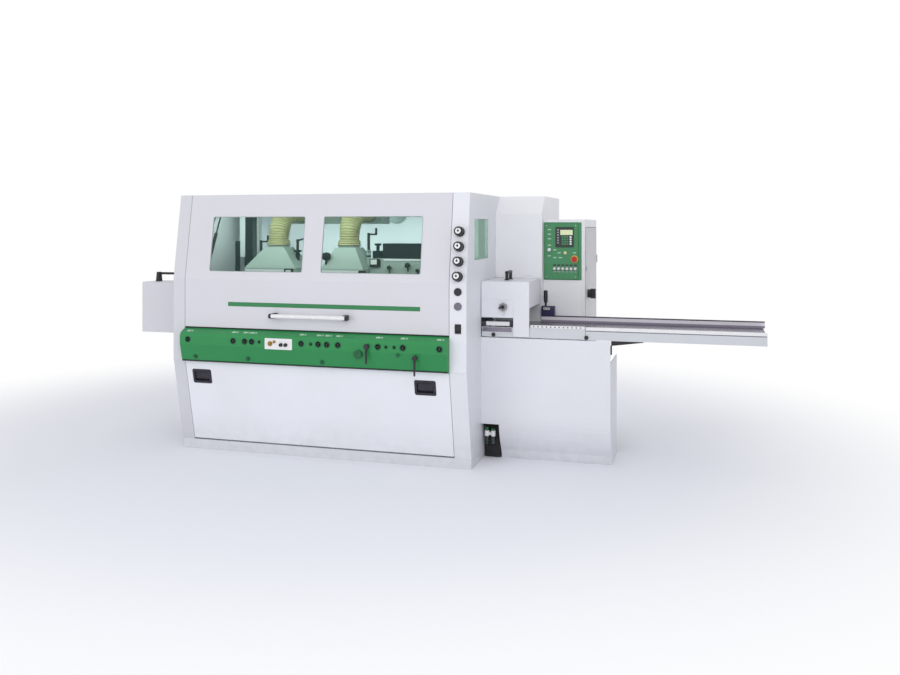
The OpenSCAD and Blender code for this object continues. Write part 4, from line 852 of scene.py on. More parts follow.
    def done(self, smooth: float = 38.0) -> bpy.types.Object:
        """Make the object, dress it and put it on its body.

        Args:
            smooth: Edges sharper than this angle stay hard.

        Returns:
            The finished object.
        """
        bmesh.ops.recalc_face_normals(self.bm, faces=self.bm.faces)
        bmesh.ops.scale(self.bm, vec=(MM, MM, MM), verts=self.bm.verts)
        mesh = bpy.data.meshes.new(self.name)
        self.bm.to_mesh(mesh)
        self.bm.free()
        return settle(self.name, mesh, self.finish, self.body, smooth)


def settle(name: str, mesh: bpy.types.Mesh, finish: Finish, body: str,
           smooth: float = 38.0) -> bpy.types.Object:
    """Turn a mesh in metres into a dressed object that rides on a body.

    Args:
        name: The object's name.
        mesh: Its mesh.
        finish: Its surface.
        body: The body that it rides on.
        smooth: Edges sharper than this angle stay hard.

    Returns:
        The object.
    """
    mesh.materials.clear()
    mesh.materials.append(finish.material())
    for face in mesh.polygons:
        face.use_smooth = True
    mesh.set_sharp_from_angle(angle=math.radians(smooth))
    made = bpy.data.objects.new(name, mesh)
    bpy.context.scene.collection.objects.link(made)
    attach(made, body)
    LOG.info("piece %s on %s, %d faces", name, body, len(mesh.polygons))
    return made


# Repeated pieces, by Geometry Nodes


class Head(Enum):
    """What is repeated on a row of places."""

    SCREW = "screw"
    RING = "ring"
    BLOCK = "block"


class Repeater:
    """Copies of a small fastener, ring or block on given places, made by a node tree."""

    RING_SIDES = 28
    WIRE_SIDES = 8
    WASHER_SIDES = 16
    HEXAGON_SIDES = 6

    def __init__(self, head: Head) -> None:
        """Build the tree for one kind of head, or take the one already built.

        Args:
            head: The kind of head.
        """
        self.head = head
        name = "repeat_" + head.value
        self.tree = bpy.data.node_groups.get(name) or self.build(name)

    def build(self, name: str) -> Tree:
        """Build the node tree with its named sizes.

        Args:
            name: Name of the tree.

        Returns:
            The tree.
        """
        tree = bpy.data.node_groups.new(name, "GeometryNodeTree")
        for label, kind in (("Places", "NodeSocketGeometry"), ("Size", "NodeSocketVector"),
                            ("Turn", "NodeSocketRotation"), ("Surface", "NodeSocketMaterial")):
            tree.interface.new_socket(label, in_out="INPUT", socket_type=kind)
        tree.interface.new_socket("Result", in_out="OUTPUT", socket_type="NodeSocketGeometry")
        given = add_node(tree, "NodeGroupInput").outputs
        axes = add_node(tree, "ShaderNodeSeparateXYZ", {"Vector": given["Size"]}).outputs
        shape = self.shape(tree, given, axes)
        points = add_node(tree, "GeometryNodeMeshToPoints", {"Mesh": given["Places"]})
        copies = add_node(tree, "GeometryNodeInstanceOnPoints",
                          {"Points": points.outputs[0], "Instance": shape, "Rotation": given["Turn"]})
        solid = add_node(tree, "GeometryNodeRealizeInstances", {"Geometry": copies.outputs[0]})
        dressed = add_node(tree, "GeometryNodeSetMaterial", {"Geometry": solid.outputs[0],
                                                             "Material": given["Surface"]})
        add_node(tree, "NodeGroupOutput", {"Result": dressed.outputs[0]})
        return tree

    def shape(self, tree: Tree, given: Any, axes: Any) -> Socket:
        """Add the nodes of one head, standing on z = 0.

        Args:
            tree: The tree.
            given: Outputs of the group input.
            axes: The three sizes.

        Returns:
            The head's geometry.
        """
        half = add_node(tree, "ShaderNodeMath", {0: axes["Z"], 1: 0.5}, operation="MULTIPLY").outputs[0]
        lift = add_node(tree, "ShaderNodeCombineXYZ", {"Z": half}).outputs[0]
        if self.head is Head.BLOCK:
            cube = add_node(tree, "GeometryNodeMeshCube", {"Size": given["Size"]})
            return add_node(tree, "GeometryNodeTransform", {"Geometry": cube.outputs["Mesh"],
                                                            "Translation": lift}).outputs[0]
        if self.head is Head.RING:
            circle = add_node(tree, "GeometryNodeCurvePrimitiveCircle",
                              {"Resolution": self.RING_SIDES, "Radius": axes["X"]})
            section = add_node(tree, "GeometryNodeCurvePrimitiveCircle",
                               {"Resolution": self.WIRE_SIDES, "Radius": axes["Y"]})
            ring = add_node(tree, "GeometryNodeCurveToMesh", {"Curve": circle.outputs["Curve"],
                                                              "Profile Curve": section.outputs["Curve"]})
            return ring.outputs[0]
        washer = add_node(tree, "GeometryNodeMeshCylinder",
                          {"Vertices": self.WASHER_SIDES, "Radius": axes["X"], "Depth": half})
        low = add_node(tree, "ShaderNodeMath", {0: axes["Z"], 1: 0.25}, operation="MULTIPLY").outputs[0]
        sunk = add_node(tree, "ShaderNodeCombineXYZ", {"Z": low}).outputs[0]
        base = add_node(tree, "GeometryNodeTransform",
                        {"Geometry": washer.outputs["Mesh"], "Translation": sunk})
        hexagon = add_node(tree, "GeometryNodeMeshCylinder",
                           {"Vertices": self.HEXAGON_SIDES, "Radius": axes["Y"], "Depth": axes["Z"]})
        top = add_node(tree, "GeometryNodeTransform",
                       {"Geometry": hexagon.outputs["Mesh"], "Translation": lift})
        both = add_node(tree, "GeometryNodeJoinGeometry")
        tree.links.new(base.outputs[0], both.inputs[0])
        tree.links.new(top.outputs[0], both.inputs[0])
        return both.outputs[0]

    def row(self, name: str, places: Iterable[Point], frame: Matrix, size: Point, finish: Finish, body: str) -> bpy.types.Object:
        """Make the copies as one plain mesh.

        Args:
            name: The object's name.
            places: Where the heads stand, in millimetres.
            frame: The face they stand on, for the direction only.
            size: The head's sizes in millimetres: a block's width, height and thickness; a ring's radius
                and its wire's; or a screw's two radii, of washer and hexagon, and its height.
            finish: Its surface.
            body: The body that it rides on.

        Returns:
            The finished object.
        """
        cloud = bpy.data.meshes.new(name + "_places")
        cloud.from_pydata([tuple(v * MM for v in p) for p in places], [], [])
        values = {"Size": tuple(v * MM for v in size), "Turn": frame.to_euler(),
                  "Surface": finish.material()}
        return settle(name, grown(cloud, self.tree, values), finish, body)


def grown(seed: bpy.types.Mesh | bpy.types.Curve, tree: Tree, values: dict[str, Any]) -> bpy.types.Mesh:
    """Run a node tree on a seed and keep the result as a plain mesh.

    Args:
        seed: Points or a path for the tree.
        tree: The tree, with named inputs.
        values: Input name to value.

    Returns:
        The evaluated mesh.
    """
    holder = bpy.data.objects.new(seed.name, seed)
    bpy.context.scene.collection.objects.link(holder)
    modifier = holder.modifiers.new("grow", "NODES")
    modifier.node_group = tree
    for item in tree.interface.items_tree:
        if item.item_type == "SOCKET" and item.in_out == "INPUT" and item.name in values:
            modifier[item.identifier] = values[item.name]
    evaluated = holder.evaluated_get(bpy.context.evaluated_depsgraph_get())
    mesh = bpy.data.meshes.new_from_object(evaluated)
    holder.modifiers.remove(modifier)
    bpy.data.objects.remove(holder)
    return mesh


@dataclass
class RibbedHose:
    """Corrugated suction hose along a path, whose thin wall swells and narrows once per rib."""

    radius: float
    swell: float
    pitch: float
    wall: float = 1.2

    STEPS_PER_RIB = 8.0
    GROOVE_SHADE_SHARE = 0.9
    SIDES = 40

    def tree(self) -> Tree:
        """Build the tree that draws the wall along a path, or take the one already built.

        Returns:
            The tree.
        """
        known = bpy.data.node_groups.get("ribbed_hose")
        if known is not None:
            return known
        tree = bpy.data.node_groups.new("ribbed_hose", "GeometryNodeTree")
        for label, kind in (("Path", "NodeSocketGeometry"), ("Radius", "NodeSocketFloat"),
                            ("Swell", "NodeSocketFloat"), ("Pitch", "NodeSocketFloat"),
                            ("Surface", "NodeSocketMaterial")):
            tree.interface.new_socket(label, in_out="INPUT", socket_type=kind)
        tree.interface.new_socket("Result", in_out="OUTPUT", socket_type="NodeSocketGeometry")
        given = add_node(tree, "NodeGroupInput").outputs
        step = add_node(tree, "ShaderNodeMath", {0: given["Pitch"], 1: self.STEPS_PER_RIB},
                        operation="DIVIDE").outputs[0]
        even = add_node(tree, "GeometryNodeResampleCurve", {"Curve": given["Path"], "Length": step},
                        mode="LENGTH")
        along = add_node(tree, "GeometryNodeSplineParameter").outputs["Length"]
        ribs = add_node(tree, "ShaderNodeMath", {0: along, 1: given["Pitch"]},
                        operation="DIVIDE").outputs[0]
        angle = add_node(tree, "ShaderNodeMath", {0: ribs, 1: 2 * math.pi},
                         operation="MULTIPLY").outputs[0]
        wave = add_node(tree, "ShaderNodeMath", {0: angle}, operation="SINE").outputs[0]
        width = add_node(tree, "ShaderNodeMath", {0: wave, 1: given["Swell"], 2: given["Radius"]},
                         operation="MULTIPLY_ADD").outputs[0]
        # How dark the painted shade grows between two ribs.
        depth = add_node(tree, "ShaderNodeMath", {0: wave, 1: -self.GROOVE_SHADE_SHARE}, operation="MULTIPLY",
                         use_clamp=True).outputs[0]
        marked = add_node(tree, "GeometryNodeStoreNamedAttribute",
                          {"Geometry": even.outputs[0], "Name": GROOVE_SHADE_NAME, "Value": depth})
        section = add_node(tree, "GeometryNodeCurvePrimitiveCircle",
                           {"Resolution": self.SIDES, "Radius": 1.0})
        wall = add_node(tree, "GeometryNodeCurveToMesh",
                        {"Curve": marked.outputs[0], "Profile Curve": section.outputs["Curve"],
                         "Scale": width})
        solid = add_node(tree, "GeometryNodeRealizeInstances", {"Geometry": wall.outputs[0]})
        dressed = add_node(tree, "GeometryNodeSetMaterial", {"Geometry": solid.outputs[0],
                                                             "Material": given["Surface"]})
        add_node(tree, "NodeGroupOutput", {"Result": dressed.outputs[0]})
        return tree

    def make(self, name: str, paths: Sequence[Sequence[Point]], finish: Finish,
             body: str) -> bpy.types.Object:
        """Make the hoses as one mesh, with their wall as a modifier.

        Args:
            name: The object's name.
            paths: Middle line of each hose, in millimetres.
            finish: The hose wall.
            body: The body that carries both ends.

        Returns:
            The finished object.
        """
        route = bpy.data.curves.new(name + "_route", "CURVE")
        route.dimensions = "3D"
        for path in paths:
            spline = route.splines.new("POLY")
            spline.points.add(len(path) - 1)
            for target, point in zip(spline.points, path):
                target.co = (*(v * MM for v in point), 1.0)
        values = {"Radius": self.radius * MM, "Swell": self.swell * MM, "Pitch": self.pitch * MM,
                  "Surface": finish.material()}
        hose = settle(name, grown(route, self.tree(), values), finish, body, 60.0)
        shell = hose.modifiers.new("wall", "SOLIDIFY")
        shell.thickness = self.wall * MM
        shell.offset = -1.0
        return hose


# Sub-assemblies


FRONT = (0.0, -1.0, 0.0)
BACK = (0.0, 1.0, 0.0)
LEFT = (-1.0, 0.0, 0.0)
RIGHT = (1.0, 0.0, 0.0)
TOP = (0.0, 0.0, 1.0)


@dataclass
class FrontHood:
    """Lifting hood: its green stripe, window seals and handle ends."""

    crease_y: float = -847.0
    crease_z: float = 1180.0
    lean: float = 9.169
    windows: tuple[Pair, ...] = ((-762.0, -86.0), (54.0, 730.0))
    window_s: Pair = (58.0, 424.0)
    stripe_x: Pair = (-617.0, 734.0)
    stripe_z: Pair = (1003.0, 1031.0)
    handle_x: Pair = (-285.0, 265.0)
    handle_y: float = -899.0
    handle_z: float = 950.0
    handle_r: float = 14.0
    foot_inset: float = 24.0
    foot: Pair = (28.0, 34.0)

    def slope(self) -> Matrix:
        """Return the frame of the leaning face, with its origin on the crease."""
        turn = math.radians(self.lean)
        return facing((0.0, self.crease_y, self.crease_z), (0.0, -math.cos(turn), math.sin(turn)),
                      (0.0, math.sin(turn), math.cos(turn)))

    def build(self) -> None:
        """Make the hood's trim."""
        face = facing((0.0, self.crease_y, 0.0), FRONT)
        stripe = Piece("hood_stripe", STRIPE_PAINT, "hood", "green_paint")
        stripe.plate(face, (mid(self.stripe_x), mid(self.stripe_z)),
                     (span(self.stripe_x), span(self.stripe_z)), 0.8, 1.0, 0.3)
        stripe.done()
        seals = Piece("window_seals", SEAL_GREY, "hood")
        slope = self.slope()
        for window_x in self.windows:
            middle = (mid(window_x), mid(self.window_s))
            seals.rim(slope, middle, (span(window_x), span(self.window_s)), 3.0, 1.6, 10.0)
        seals.done()
        ends = Piece("handle_ends", BLACK_ABS, "hood", "black_plastic")
        for x, out in ((self.handle_x[0], -1.0), (self.handle_x[1], 1.0)):
            cap = facing((x, self.handle_y, self.handle_z), (out, 0.0, 0.0))
            r = self.handle_r + 1.2
            ends.turn(cap, ((r, -16.0), (r + 0.8, -15.0), (r + 0.8, -1.0), (r - 1.0, 1.5), (r - 5.0, 2.6)))
        half_w, half_h = self.foot[0] / 2, self.foot[1] / 2
        for x in (self.handle_x[0] + self.foot_inset, self.handle_x[1] - self.foot_inset):
            ends.box((x - half_w, self.handle_y - 3.0, self.handle_z - half_h),
                     (x + half_w, self.crease_y, self.handle_z + half_h), 2.0)
        ends.done()


@dataclass
class ControlBelt:
    """Green belt under the hood: socket rings, marks, bolts, caps, setting plate and black strips of
    painted shade along its edges.
    """

    face_y: float = -907.0
    socket_z: float = 779.0
    large: tuple[float, ...] = (-886.0, -546.0, -461.0, -409.0, -54.0, 66.0, 126.0, 202.0, 474.0, 640.0,
                                878.0)
    small: tuple[float, ...] = (-354.0, 14.0, 528.0, 583.0)
    large_r: float = 16.0
    small_r: float = 8.0
    large_wire: float = 3.4
    small_wire: float = 2.4
    mark: Pair = (-877.0, 833.3)  # Y and Z of the marks on the upper slope.
    bolt: Pair = (-886.0, 663.0)  # Y and Z of the bolts on the lower slope.
    bolts_x: tuple[float, ...] = (-840.0, -446.0, 85.0)
    caps: tuple[Point, ...] = ((342.0, 727.0, 28.0), (607.0, 732.0, 10.0))  # X, Z and radius.
    plate_x: Pair = (-313.0, -117.0)
    plate_z: Pair = (735.0, 807.0)
    plate_thick: float = 3.0
    tick_r: float = 15.0

    def build(self) -> None:
        """Make the belt's fittings."""
        face = facing((0.0, self.face_y, 0.0), FRONT)
        rings = Repeater(Head.RING)
        for label, xs, r, wire in (("large", self.large, self.large_r, self.large_wire),
                                   ("small", self.small, self.small_r, self.small_wire)):
            rings.row("socket_rings_" + label, [(x, self.face_y, self.socket_z) for x in xs], face,
                      (r + wire * 0.8, wire, wire), SOCKET_PAINT, "frame")
        marks = Repeater(Head.BLOCK)
        upper = facing((0.0, *self.mark), (0.0, -28.0, 60.0), (0.0, 60.0, 28.0))
        longs = [(x - 8.0, *self.mark) for x in self.large]
        shorts = [(x + 18.0, *self.mark) for x in self.large]
        marks.row("socket_marks_long", longs, upper, (29.0, 18.0, 0.5), PALE_INK, "frame")
        marks.row("socket_marks_short", shorts, upper, (9.0, 18.0, 0.5), PALE_INK, "frame")
        lower = facing((0.0, *self.bolt), (0.0, -117.0, -30.0), (0.0, -30.0, 117.0))
        bolts = [(x, *self.bolt) for x in self.bolts_x]
        Repeater(Head.SCREW).row("belt_bolts", bolts, lower, (15.0, 9.0, 9.0), SOCKET_PAINT, "frame")
        self.knobs()
        self.setting_plate(face)
        self.ends()

    def ends(self) -> None:
        """Make the black strips along the belt's edges, painted shade for the gaps there, and the caps that
        close its two ends.
        """
        lo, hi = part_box("control_strip")
        left, right = lo[0] / MM, hi[0] / MM
        # Painted shade: black strips for the shaded gaps along the belt's top and bottom edges.
        seals = Piece("belt_edge_shade_strips", SOFT_BLACK, "frame")
        for outline in ([(-838.0, 852.0), (-846.0, 850.0), (-845.0, 855.5), (-838.0, 857.0)],
                        [(-877.5, 628.5), (-882.5, 632.0), (-881.0, 638.0), (-877.5, 634.0)]):
            seals.prism(outline, left + 2, right - 2)
        seals.done()
        caps = Piece("belt_end_caps", BELT_PAINT, "frame", "green_paint")
        for x0, x1 in ((left + 0.5, left + 3.0), (right - 3.0, right - 0.5)):
            caps.prism([(-852.0, 632.0), (-873.0, 632.0), (-902.0, 746.0), (-902.0, 797.0), (-893.0, 819.0),
                        (-836.0, 846.0), (-780.0, 846.0)], x0, x1)
        caps.done()

    def knobs(self) -> None:
        """Make the two round caps on the lower part of the belt."""
        caps = Piece("belt_knobs", SOCKET_PAINT, "frame", "green_paint")
        for x, z, r in self.caps:
            at = facing((x, self.face_y + 9.0, z), FRONT)
            caps.turn(at, ((r * 0.8, 0.0), (r * 0.8, 8.0), (r, 9.5), (r, 19.0), (r - 2.0, 21.5),
                           (r * 0.55, 22.5), (r * 0.5, 21.5), (0.5, 21.0)), 36)
        caps.done()

    def setting_plate(self, face: Matrix) -> None:
        """Make the white setting plate with its two knobs, their ticks and the valve.

        Args:
            face: The belt's upright face.
        """
        middle = (mid(self.plate_x), mid(self.plate_z))
        top_y = self.face_y - self.plate_thick
        knob_z = middle[1] - 4.0
        plate = Piece("setting_plate", WHITE_ABS, "frame", "white_plastic")
        plate.plate(face, middle, (span(self.plate_x), span(self.plate_z)), self.plate_thick, 3.0, 0.8)
        plate.done()
        knobs = Piece("setting_knobs", BLACK_ABS, "frame", "black_plastic")
        places = (middle[0] + 20.0, middle[0] + 54.0)
        for x in places:
            knobs.turn(facing((x, top_y, knob_z), FRONT),
                       ((12.0, 0.0), (12.0, 3.0), (10.5, 4.0), (10.0, 15.0), (8.5, 17.0), (4.0, 17.4)), 28,
                       lobes(12, 0.035))
        knobs.done()
        valve = Piece("setting_valve", BRASS, "frame")
        at = facing((middle[0] - 58.0, top_y, middle[1] + 2.0), FRONT)
        valve.turn(at, ((17.0, 0.0), (17.0, 4.0), (12.0, 5.0), (12.0, 16.0), (9.0, 18.0), (3.0, 18.4)), 6)
        valve.turn(at @ Matrix.Translation((30.0, 12.0, 0.0)),
                   ((9.0, 0.0), (9.0, 7.0), (6.0, 9.0), (2.0, 9.4)), 24)
        valve.done()
        turns = [math.radians(-120.0 + 40.0 * k) for k in range(7)]
        ticks = [(x + self.tick_r * math.sin(turn), top_y, knob_z + self.tick_r * math.cos(turn))
                 for x in places for turn in turns]
        Repeater(Head.BLOCK).row("setting_ticks", ticks, face, (1.8, 1.8, 0.4), DARK_FOIL, "frame")


@dataclass
class ControlColumn:
    """Right-hand column: dial faces and pointers, scale ticks, plug caps and the rocker's surround."""

    x: float = 980.0
    crease_y: float = -847.0
    crease_z: float = 1180.0
    lean: float = 9.169
    first: float = 44.0
    pitch: float = 94.0
    dial_l: float = 52.0
    dial_face_r: float = 18.5
    dial_count: int = 4
    tick_r: float = 37.0
    plug_z: tuple[float, ...] = (1130.0, 1040.0)
    plug_r: float = 23.0
    plug_y: float = -852.0
    rocker_z: float = 900.0
    rocker: Pair = (36.0, 56.0)

    def build(self) -> None:
        """Make the column's fittings."""
        turn = math.radians(self.lean)
        normal = (0.0, -math.cos(turn), math.sin(turn))
        up = (0.0, math.sin(turn), math.cos(turn))
        slope = facing((self.x, self.crease_y, self.crease_z), normal, up)
        ticks: list[Point] = []
        r = self.dial_face_r
        for i in range(self.dial_count):
            s = self.first + self.pitch * i
            face = slope @ Matrix.Translation((0.0, s, self.dial_l))
            disc = Piece(f"dial_face_{i + 1}", WHITE_ABS, f"dial_{i + 1}", "white_plastic")
            disc.turn(face, ((r, 0.0), (r, 0.8), (r - 1.0, 1.4), (2.0, 1.6)))
            disc.done()
            hub = Piece(f"dial_pointer_{i + 1}", BLACK_ABS, f"dial_{i + 1}", "black_plastic")
            hub.turn(face, ((6.5, 1.4), (6.5, 3.4), (5.0, 4.4), (1.0, 4.6)), 24)
            hub.plate(face, (0.0, 12.5), (2.6, 13.0), 0.7, 1.2, 0.2, 1.5)
            hub.done()
            for k in range(11):
                a = math.radians(-150.0 + 30.0 * k)
                spot = Vector((self.tick_r * math.sin(a), s + self.tick_r * math.cos(a), 0.0))
                ticks.append(tuple(slope @ spot))
        Repeater(Head.BLOCK).row("dial_ticks", ticks, slope, (2.4, 2.4, 0.4), DARK_FOIL, "frame")
        front = facing((self.x, self.plug_y, 0.0), FRONT)
        r = self.plug_r + 1.5
        for label, z, finish in zip(("upper", "lower"), self.plug_z, (DARK_TRIM, GREY_TRIM)):
            cap = Piece("column_plug_" + label, finish, "frame")
            cap.turn(front @ Matrix.Translation((0.0, z, 0.0)),
                     ((r, -4.0), (r, 1.0), (r - 2.0, 2.6), (r - 5.0, 2.8), (r - 6.0, 1.8), (2.0, 2.2)), 40)
            cap.done()
        surround = Piece("rocker_surround", BLACK_ABS, "frame", "black_plastic")
        column = facing((self.x, self.crease_y, 0.0), FRONT)
        surround.rim(column, (0.0, self.rocker_z), self.rocker, 2.5, 3.0, 2.0)
        surround.done()


@dataclass
class FrontFlap:
    """Lower front flap: the frames round its two latches."""

    pivot_y: float = -727.0
    pivot_z: float = 75.0
    lean: float = 11.973
    latch_x: tuple[float, ...] = (-828.0, 760.0)
    latch_rise: float = 455.0
    latch: Pair = (128.0, 86.0)

    def slope(self) -> Matrix:
        """Return the frame of the leaning panel, with its origin at the foot."""
        turn = math.radians(self.lean)
        return facing((0.0, self.pivot_y, self.pivot_z), (0.0, -math.cos(turn), -math.sin(turn)),
                      (0.0, -math.sin(turn), math.cos(turn)))

    def build(self) -> None:
        """Make the flap's fittings."""
        slope = self.slope()
        frames = Piece("latch_frames", DARK_TRIM, "flap", "black_plastic")
        for x in self.latch_x:
            frames.rim(slope, (x, self.latch_rise), self.latch, 7.0, 2.6, 5.0)
        frames.done()


@dataclass
class InfeedSide:
    """Infeed side: knob hub, side guide, table trim, lock knobs, counter, lever grip and the air unit."""

    table_y: float = -470.0
    guide_y: float = -459.0
    guide_posts_x: Pair = (1092.0, 1198.0)
    lock_x: Pair = (1120.0, 1726.0)
    lock_z: float = 828.0
    rail_x: Pair = (1362.0, 1716.0)
    lip_x: Pair = (1722.0, 2810.0)
    air_y: float = -430.0
    bowls_dx: Pair = (-18.0, 24.0)
    bowl_z: float = 150.0

    def build(self) -> None:
        """Make the infeed side's fittings."""
        self.guard()
        self.table()
        self.fence()
        self.air_unit()

    def guard(self) -> None:
        """Make the guard knob's hub and the white side guide under the guard."""
        lo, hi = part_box("guard_knob")
        x, y, z = (lo[0] + hi[0]) / 2 / MM, lo[1] / MM, (lo[2] + hi[2]) / 2 / MM
        hub = Piece("guard_knob_hub", BLACK_ABS, "guard_clamp", "black_plastic")
        hub.turn(facing((x, y, z), FRONT), ((13.0, 0.0), (13.0, 3.0), (10.0, 5.0), (4.0, 5.6)), 28)
        hub.tube(((x - 6.0, y - 3.0, z), (x - 26.0, y - 4.0, z - 8.0)), 5.0, 14)
        hub.done()
        shoe = Piece("side_guide", WHITE_ABS, "table", "white_plastic")
        shoe.box((1066.0, self.guide_y - 7.0, 884.0), (1224.0, self.guide_y + 7.0, 912.0), 3.0)
        shoe.done()
        posts = Piece("side_guide_posts", BLACK_ABS, "table", "black_plastic")
        for x in self.guide_posts_x:
            posts.turn(facing((x, self.guide_y, 877.0), TOP, BACK),
                       ((7.0, 0.0), (7.0, 2.0), (5.0, 3.0), (5.0, 8.0)), 20)
        posts.done()

    def table(self) -> None:
        """Make the lock knobs, the rail with grey discs of painted shade for its holes, the strip, the
        lip's trim and the corner buffer.
        """
        y = self.table_y
        knobs = Piece("table_lock_knobs", BLACK_ABS, "table", "black_plastic")
        for x in self.lock_x:
            knobs.turn(facing((x, y, self.lock_z), FRONT),
                       ((5.0, 0.0), (5.0, 3.0), (12.0, 4.0), (13.0, 7.0), (13.0, 11.0), (10.0, 13.0),
                        (2.0, 13.4)), 36, lobes(7, 0.06))
        knobs.done()
        front = facing((0.0, y, 0.0), FRONT)
        rail = Piece("table_front_rail", WHITE_ABS, "table", "white_plastic")
        rail.box((self.rail_x[0], y, 877.0), (self.rail_x[1], y + 10.0, 896.0), 1.5)
        rail.done()
        # Painted shade: grey discs stand for the dark inside of the rail's holes.
        dots = [(self.rail_x[0] + 24.0 + 27.5 * k, y, 887.0) for k in range(12)]
        Repeater(Head.SCREW).row("table_rail_holes", dots, front, (5.0, 4.0, 0.6), GREY_TRIM, "table")
        strip = Piece("table_front_strip", STEEL_STRIP, "table", "bright_steel")
        strip.plate(front, (1142.0, 860.0), (196.0, 28.0), 1.6, 2.0, 0.5)
        strip.done()
        lip = Piece("extension_lip_cap", WHITE_ABS, "table", "white_plastic")
        lip.prism([(y, 872.0), (y - 2.0, 873.0), (y - 2.0, 891.5), (y, 893.0), (y + 13.0, 893.0),
                   (y + 13.0, 891.0), (y, 891.0)], *self.lip_x)
        lip.done()
        line = Piece("extension_lip_line", GREY_TRIM, "table")
        line.box((self.lip_x[0], y - 1.0, 867.0), (self.lip_x[1], y, 871.5), 0.4)
        line.done()
        buffer = Piece("console_corner_buffer", SOFT_BLACK, "frame")
        buffer.box((1876.5, y, 722.0), (1884.0, y + 30.0, 780.0), 1.5)
        buffer.done()

    def fence(self) -> None:
        """Make the counter of the fence setter and the lever's grip."""
        lo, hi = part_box("fence_setter")
        face = facing((0.0, lo[1] / MM, 0.0), FRONT)
        middle = ((lo[0] + hi[0]) / 2 / MM - 8.0, (lo[2] + hi[2]) / 2 / MM + 16.0)
        plate = Piece("fence_counter_frame", BLACK_ABS, "fence", "black_plastic")
        plate.plate(face, middle, (54.0, 26.0), 4.0, 3.0, 1.0)
        plate.done()
        window = Piece("fence_counter_window", WHITE_ABS, "fence", "white_plastic")
        window.plate(face, middle, (44.0, 15.0), 0.7, 1.0, 0.2, 4.0)
        window.done()
        low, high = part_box("fence_lever")
        grip = Piece("fence_lever_grip", BLACK_ABS, "fence_handle", "black_plastic")
        axis = facing(((low[0] + high[0]) / 2 / MM, (low[1] + high[1]) / 2 / MM, high[2] / MM), TOP, BACK)
        grip.turn(axis, ((9.0, -84.0), (13.0, -80.0), (14.5, -40.0), (13.5, -6.0), (9.0, 1.0), (2.0, 2.0)),
                  28, lobes(8, 0.03))
        grip.done()
        digits = [(middle[0] - 14.0 + 9.4 * k, lo[1] / MM - 4.7, middle[1]) for k in range(4)]
        Repeater(Head.BLOCK).row("fence_counter_wheels", digits, face, (5.0, 9.0, 0.3), DARK_FOIL, "fence")

    def air_unit(self) -> None:
        """Make the small compressed air unit on a black plate, painted shade for the dark inside of the
        console's cut-out.
        """
        lo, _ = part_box("infeed_console")
        left, y = lo[0] / MM, self.air_y
        x = left + 48.0
        # Painted shade: the black plate stands for the shaded inside of the cut-out.
        back = Piece("air_unit_plate", SOFT_BLACK, "frame")
        back.box((left + 6.0, y + 42.0, 4.0), (left + 112.0, y + 48.0, 232.0), 1.5)
        back.done()
        body = Piece("air_unit_bodies", WHITE_ABS, "frame", "white_plastic")
        bowls = Piece("air_unit_bowls", BOWL, "frame")
        caps = Piece("air_unit_knobs", SOCKET_PAINT, "frame", "green_paint")
        for k, dx in enumerate(self.bowls_dx):
            at = facing((x + dx, y, self.bowl_z), TOP, BACK)
            body.turn(at, ((14.0, 0.0), (16.0, 3.0), (16.0, 34.0), (13.0, 37.0)), 28)
            bowls.turn(at, ((6.0, -54.0), (12.0, -50.0), (14.0, -42.0), (14.0, 0.0)), 28)
            caps.turn(at, ((11.0, 37.0), (13.0, 39.0), (13.0, 58.0 - 8.0 * k), (10.0, 61.0 - 8.0 * k)), 28)
        body.box((x + self.bowls_dx[0], y - 8.0, self.bowl_z + 8.0),
                 (x + self.bowls_dx[1], y + 8.0, self.bowl_z + 24.0), 2.0)
        body.box((x - 10.0, y + 6.0, self.bowl_z + 10.0), (x + 16.0, y + 43.0, self.bowl_z + 22.0), 2.0)
        body.done()
        bowls.done()
        caps.done()


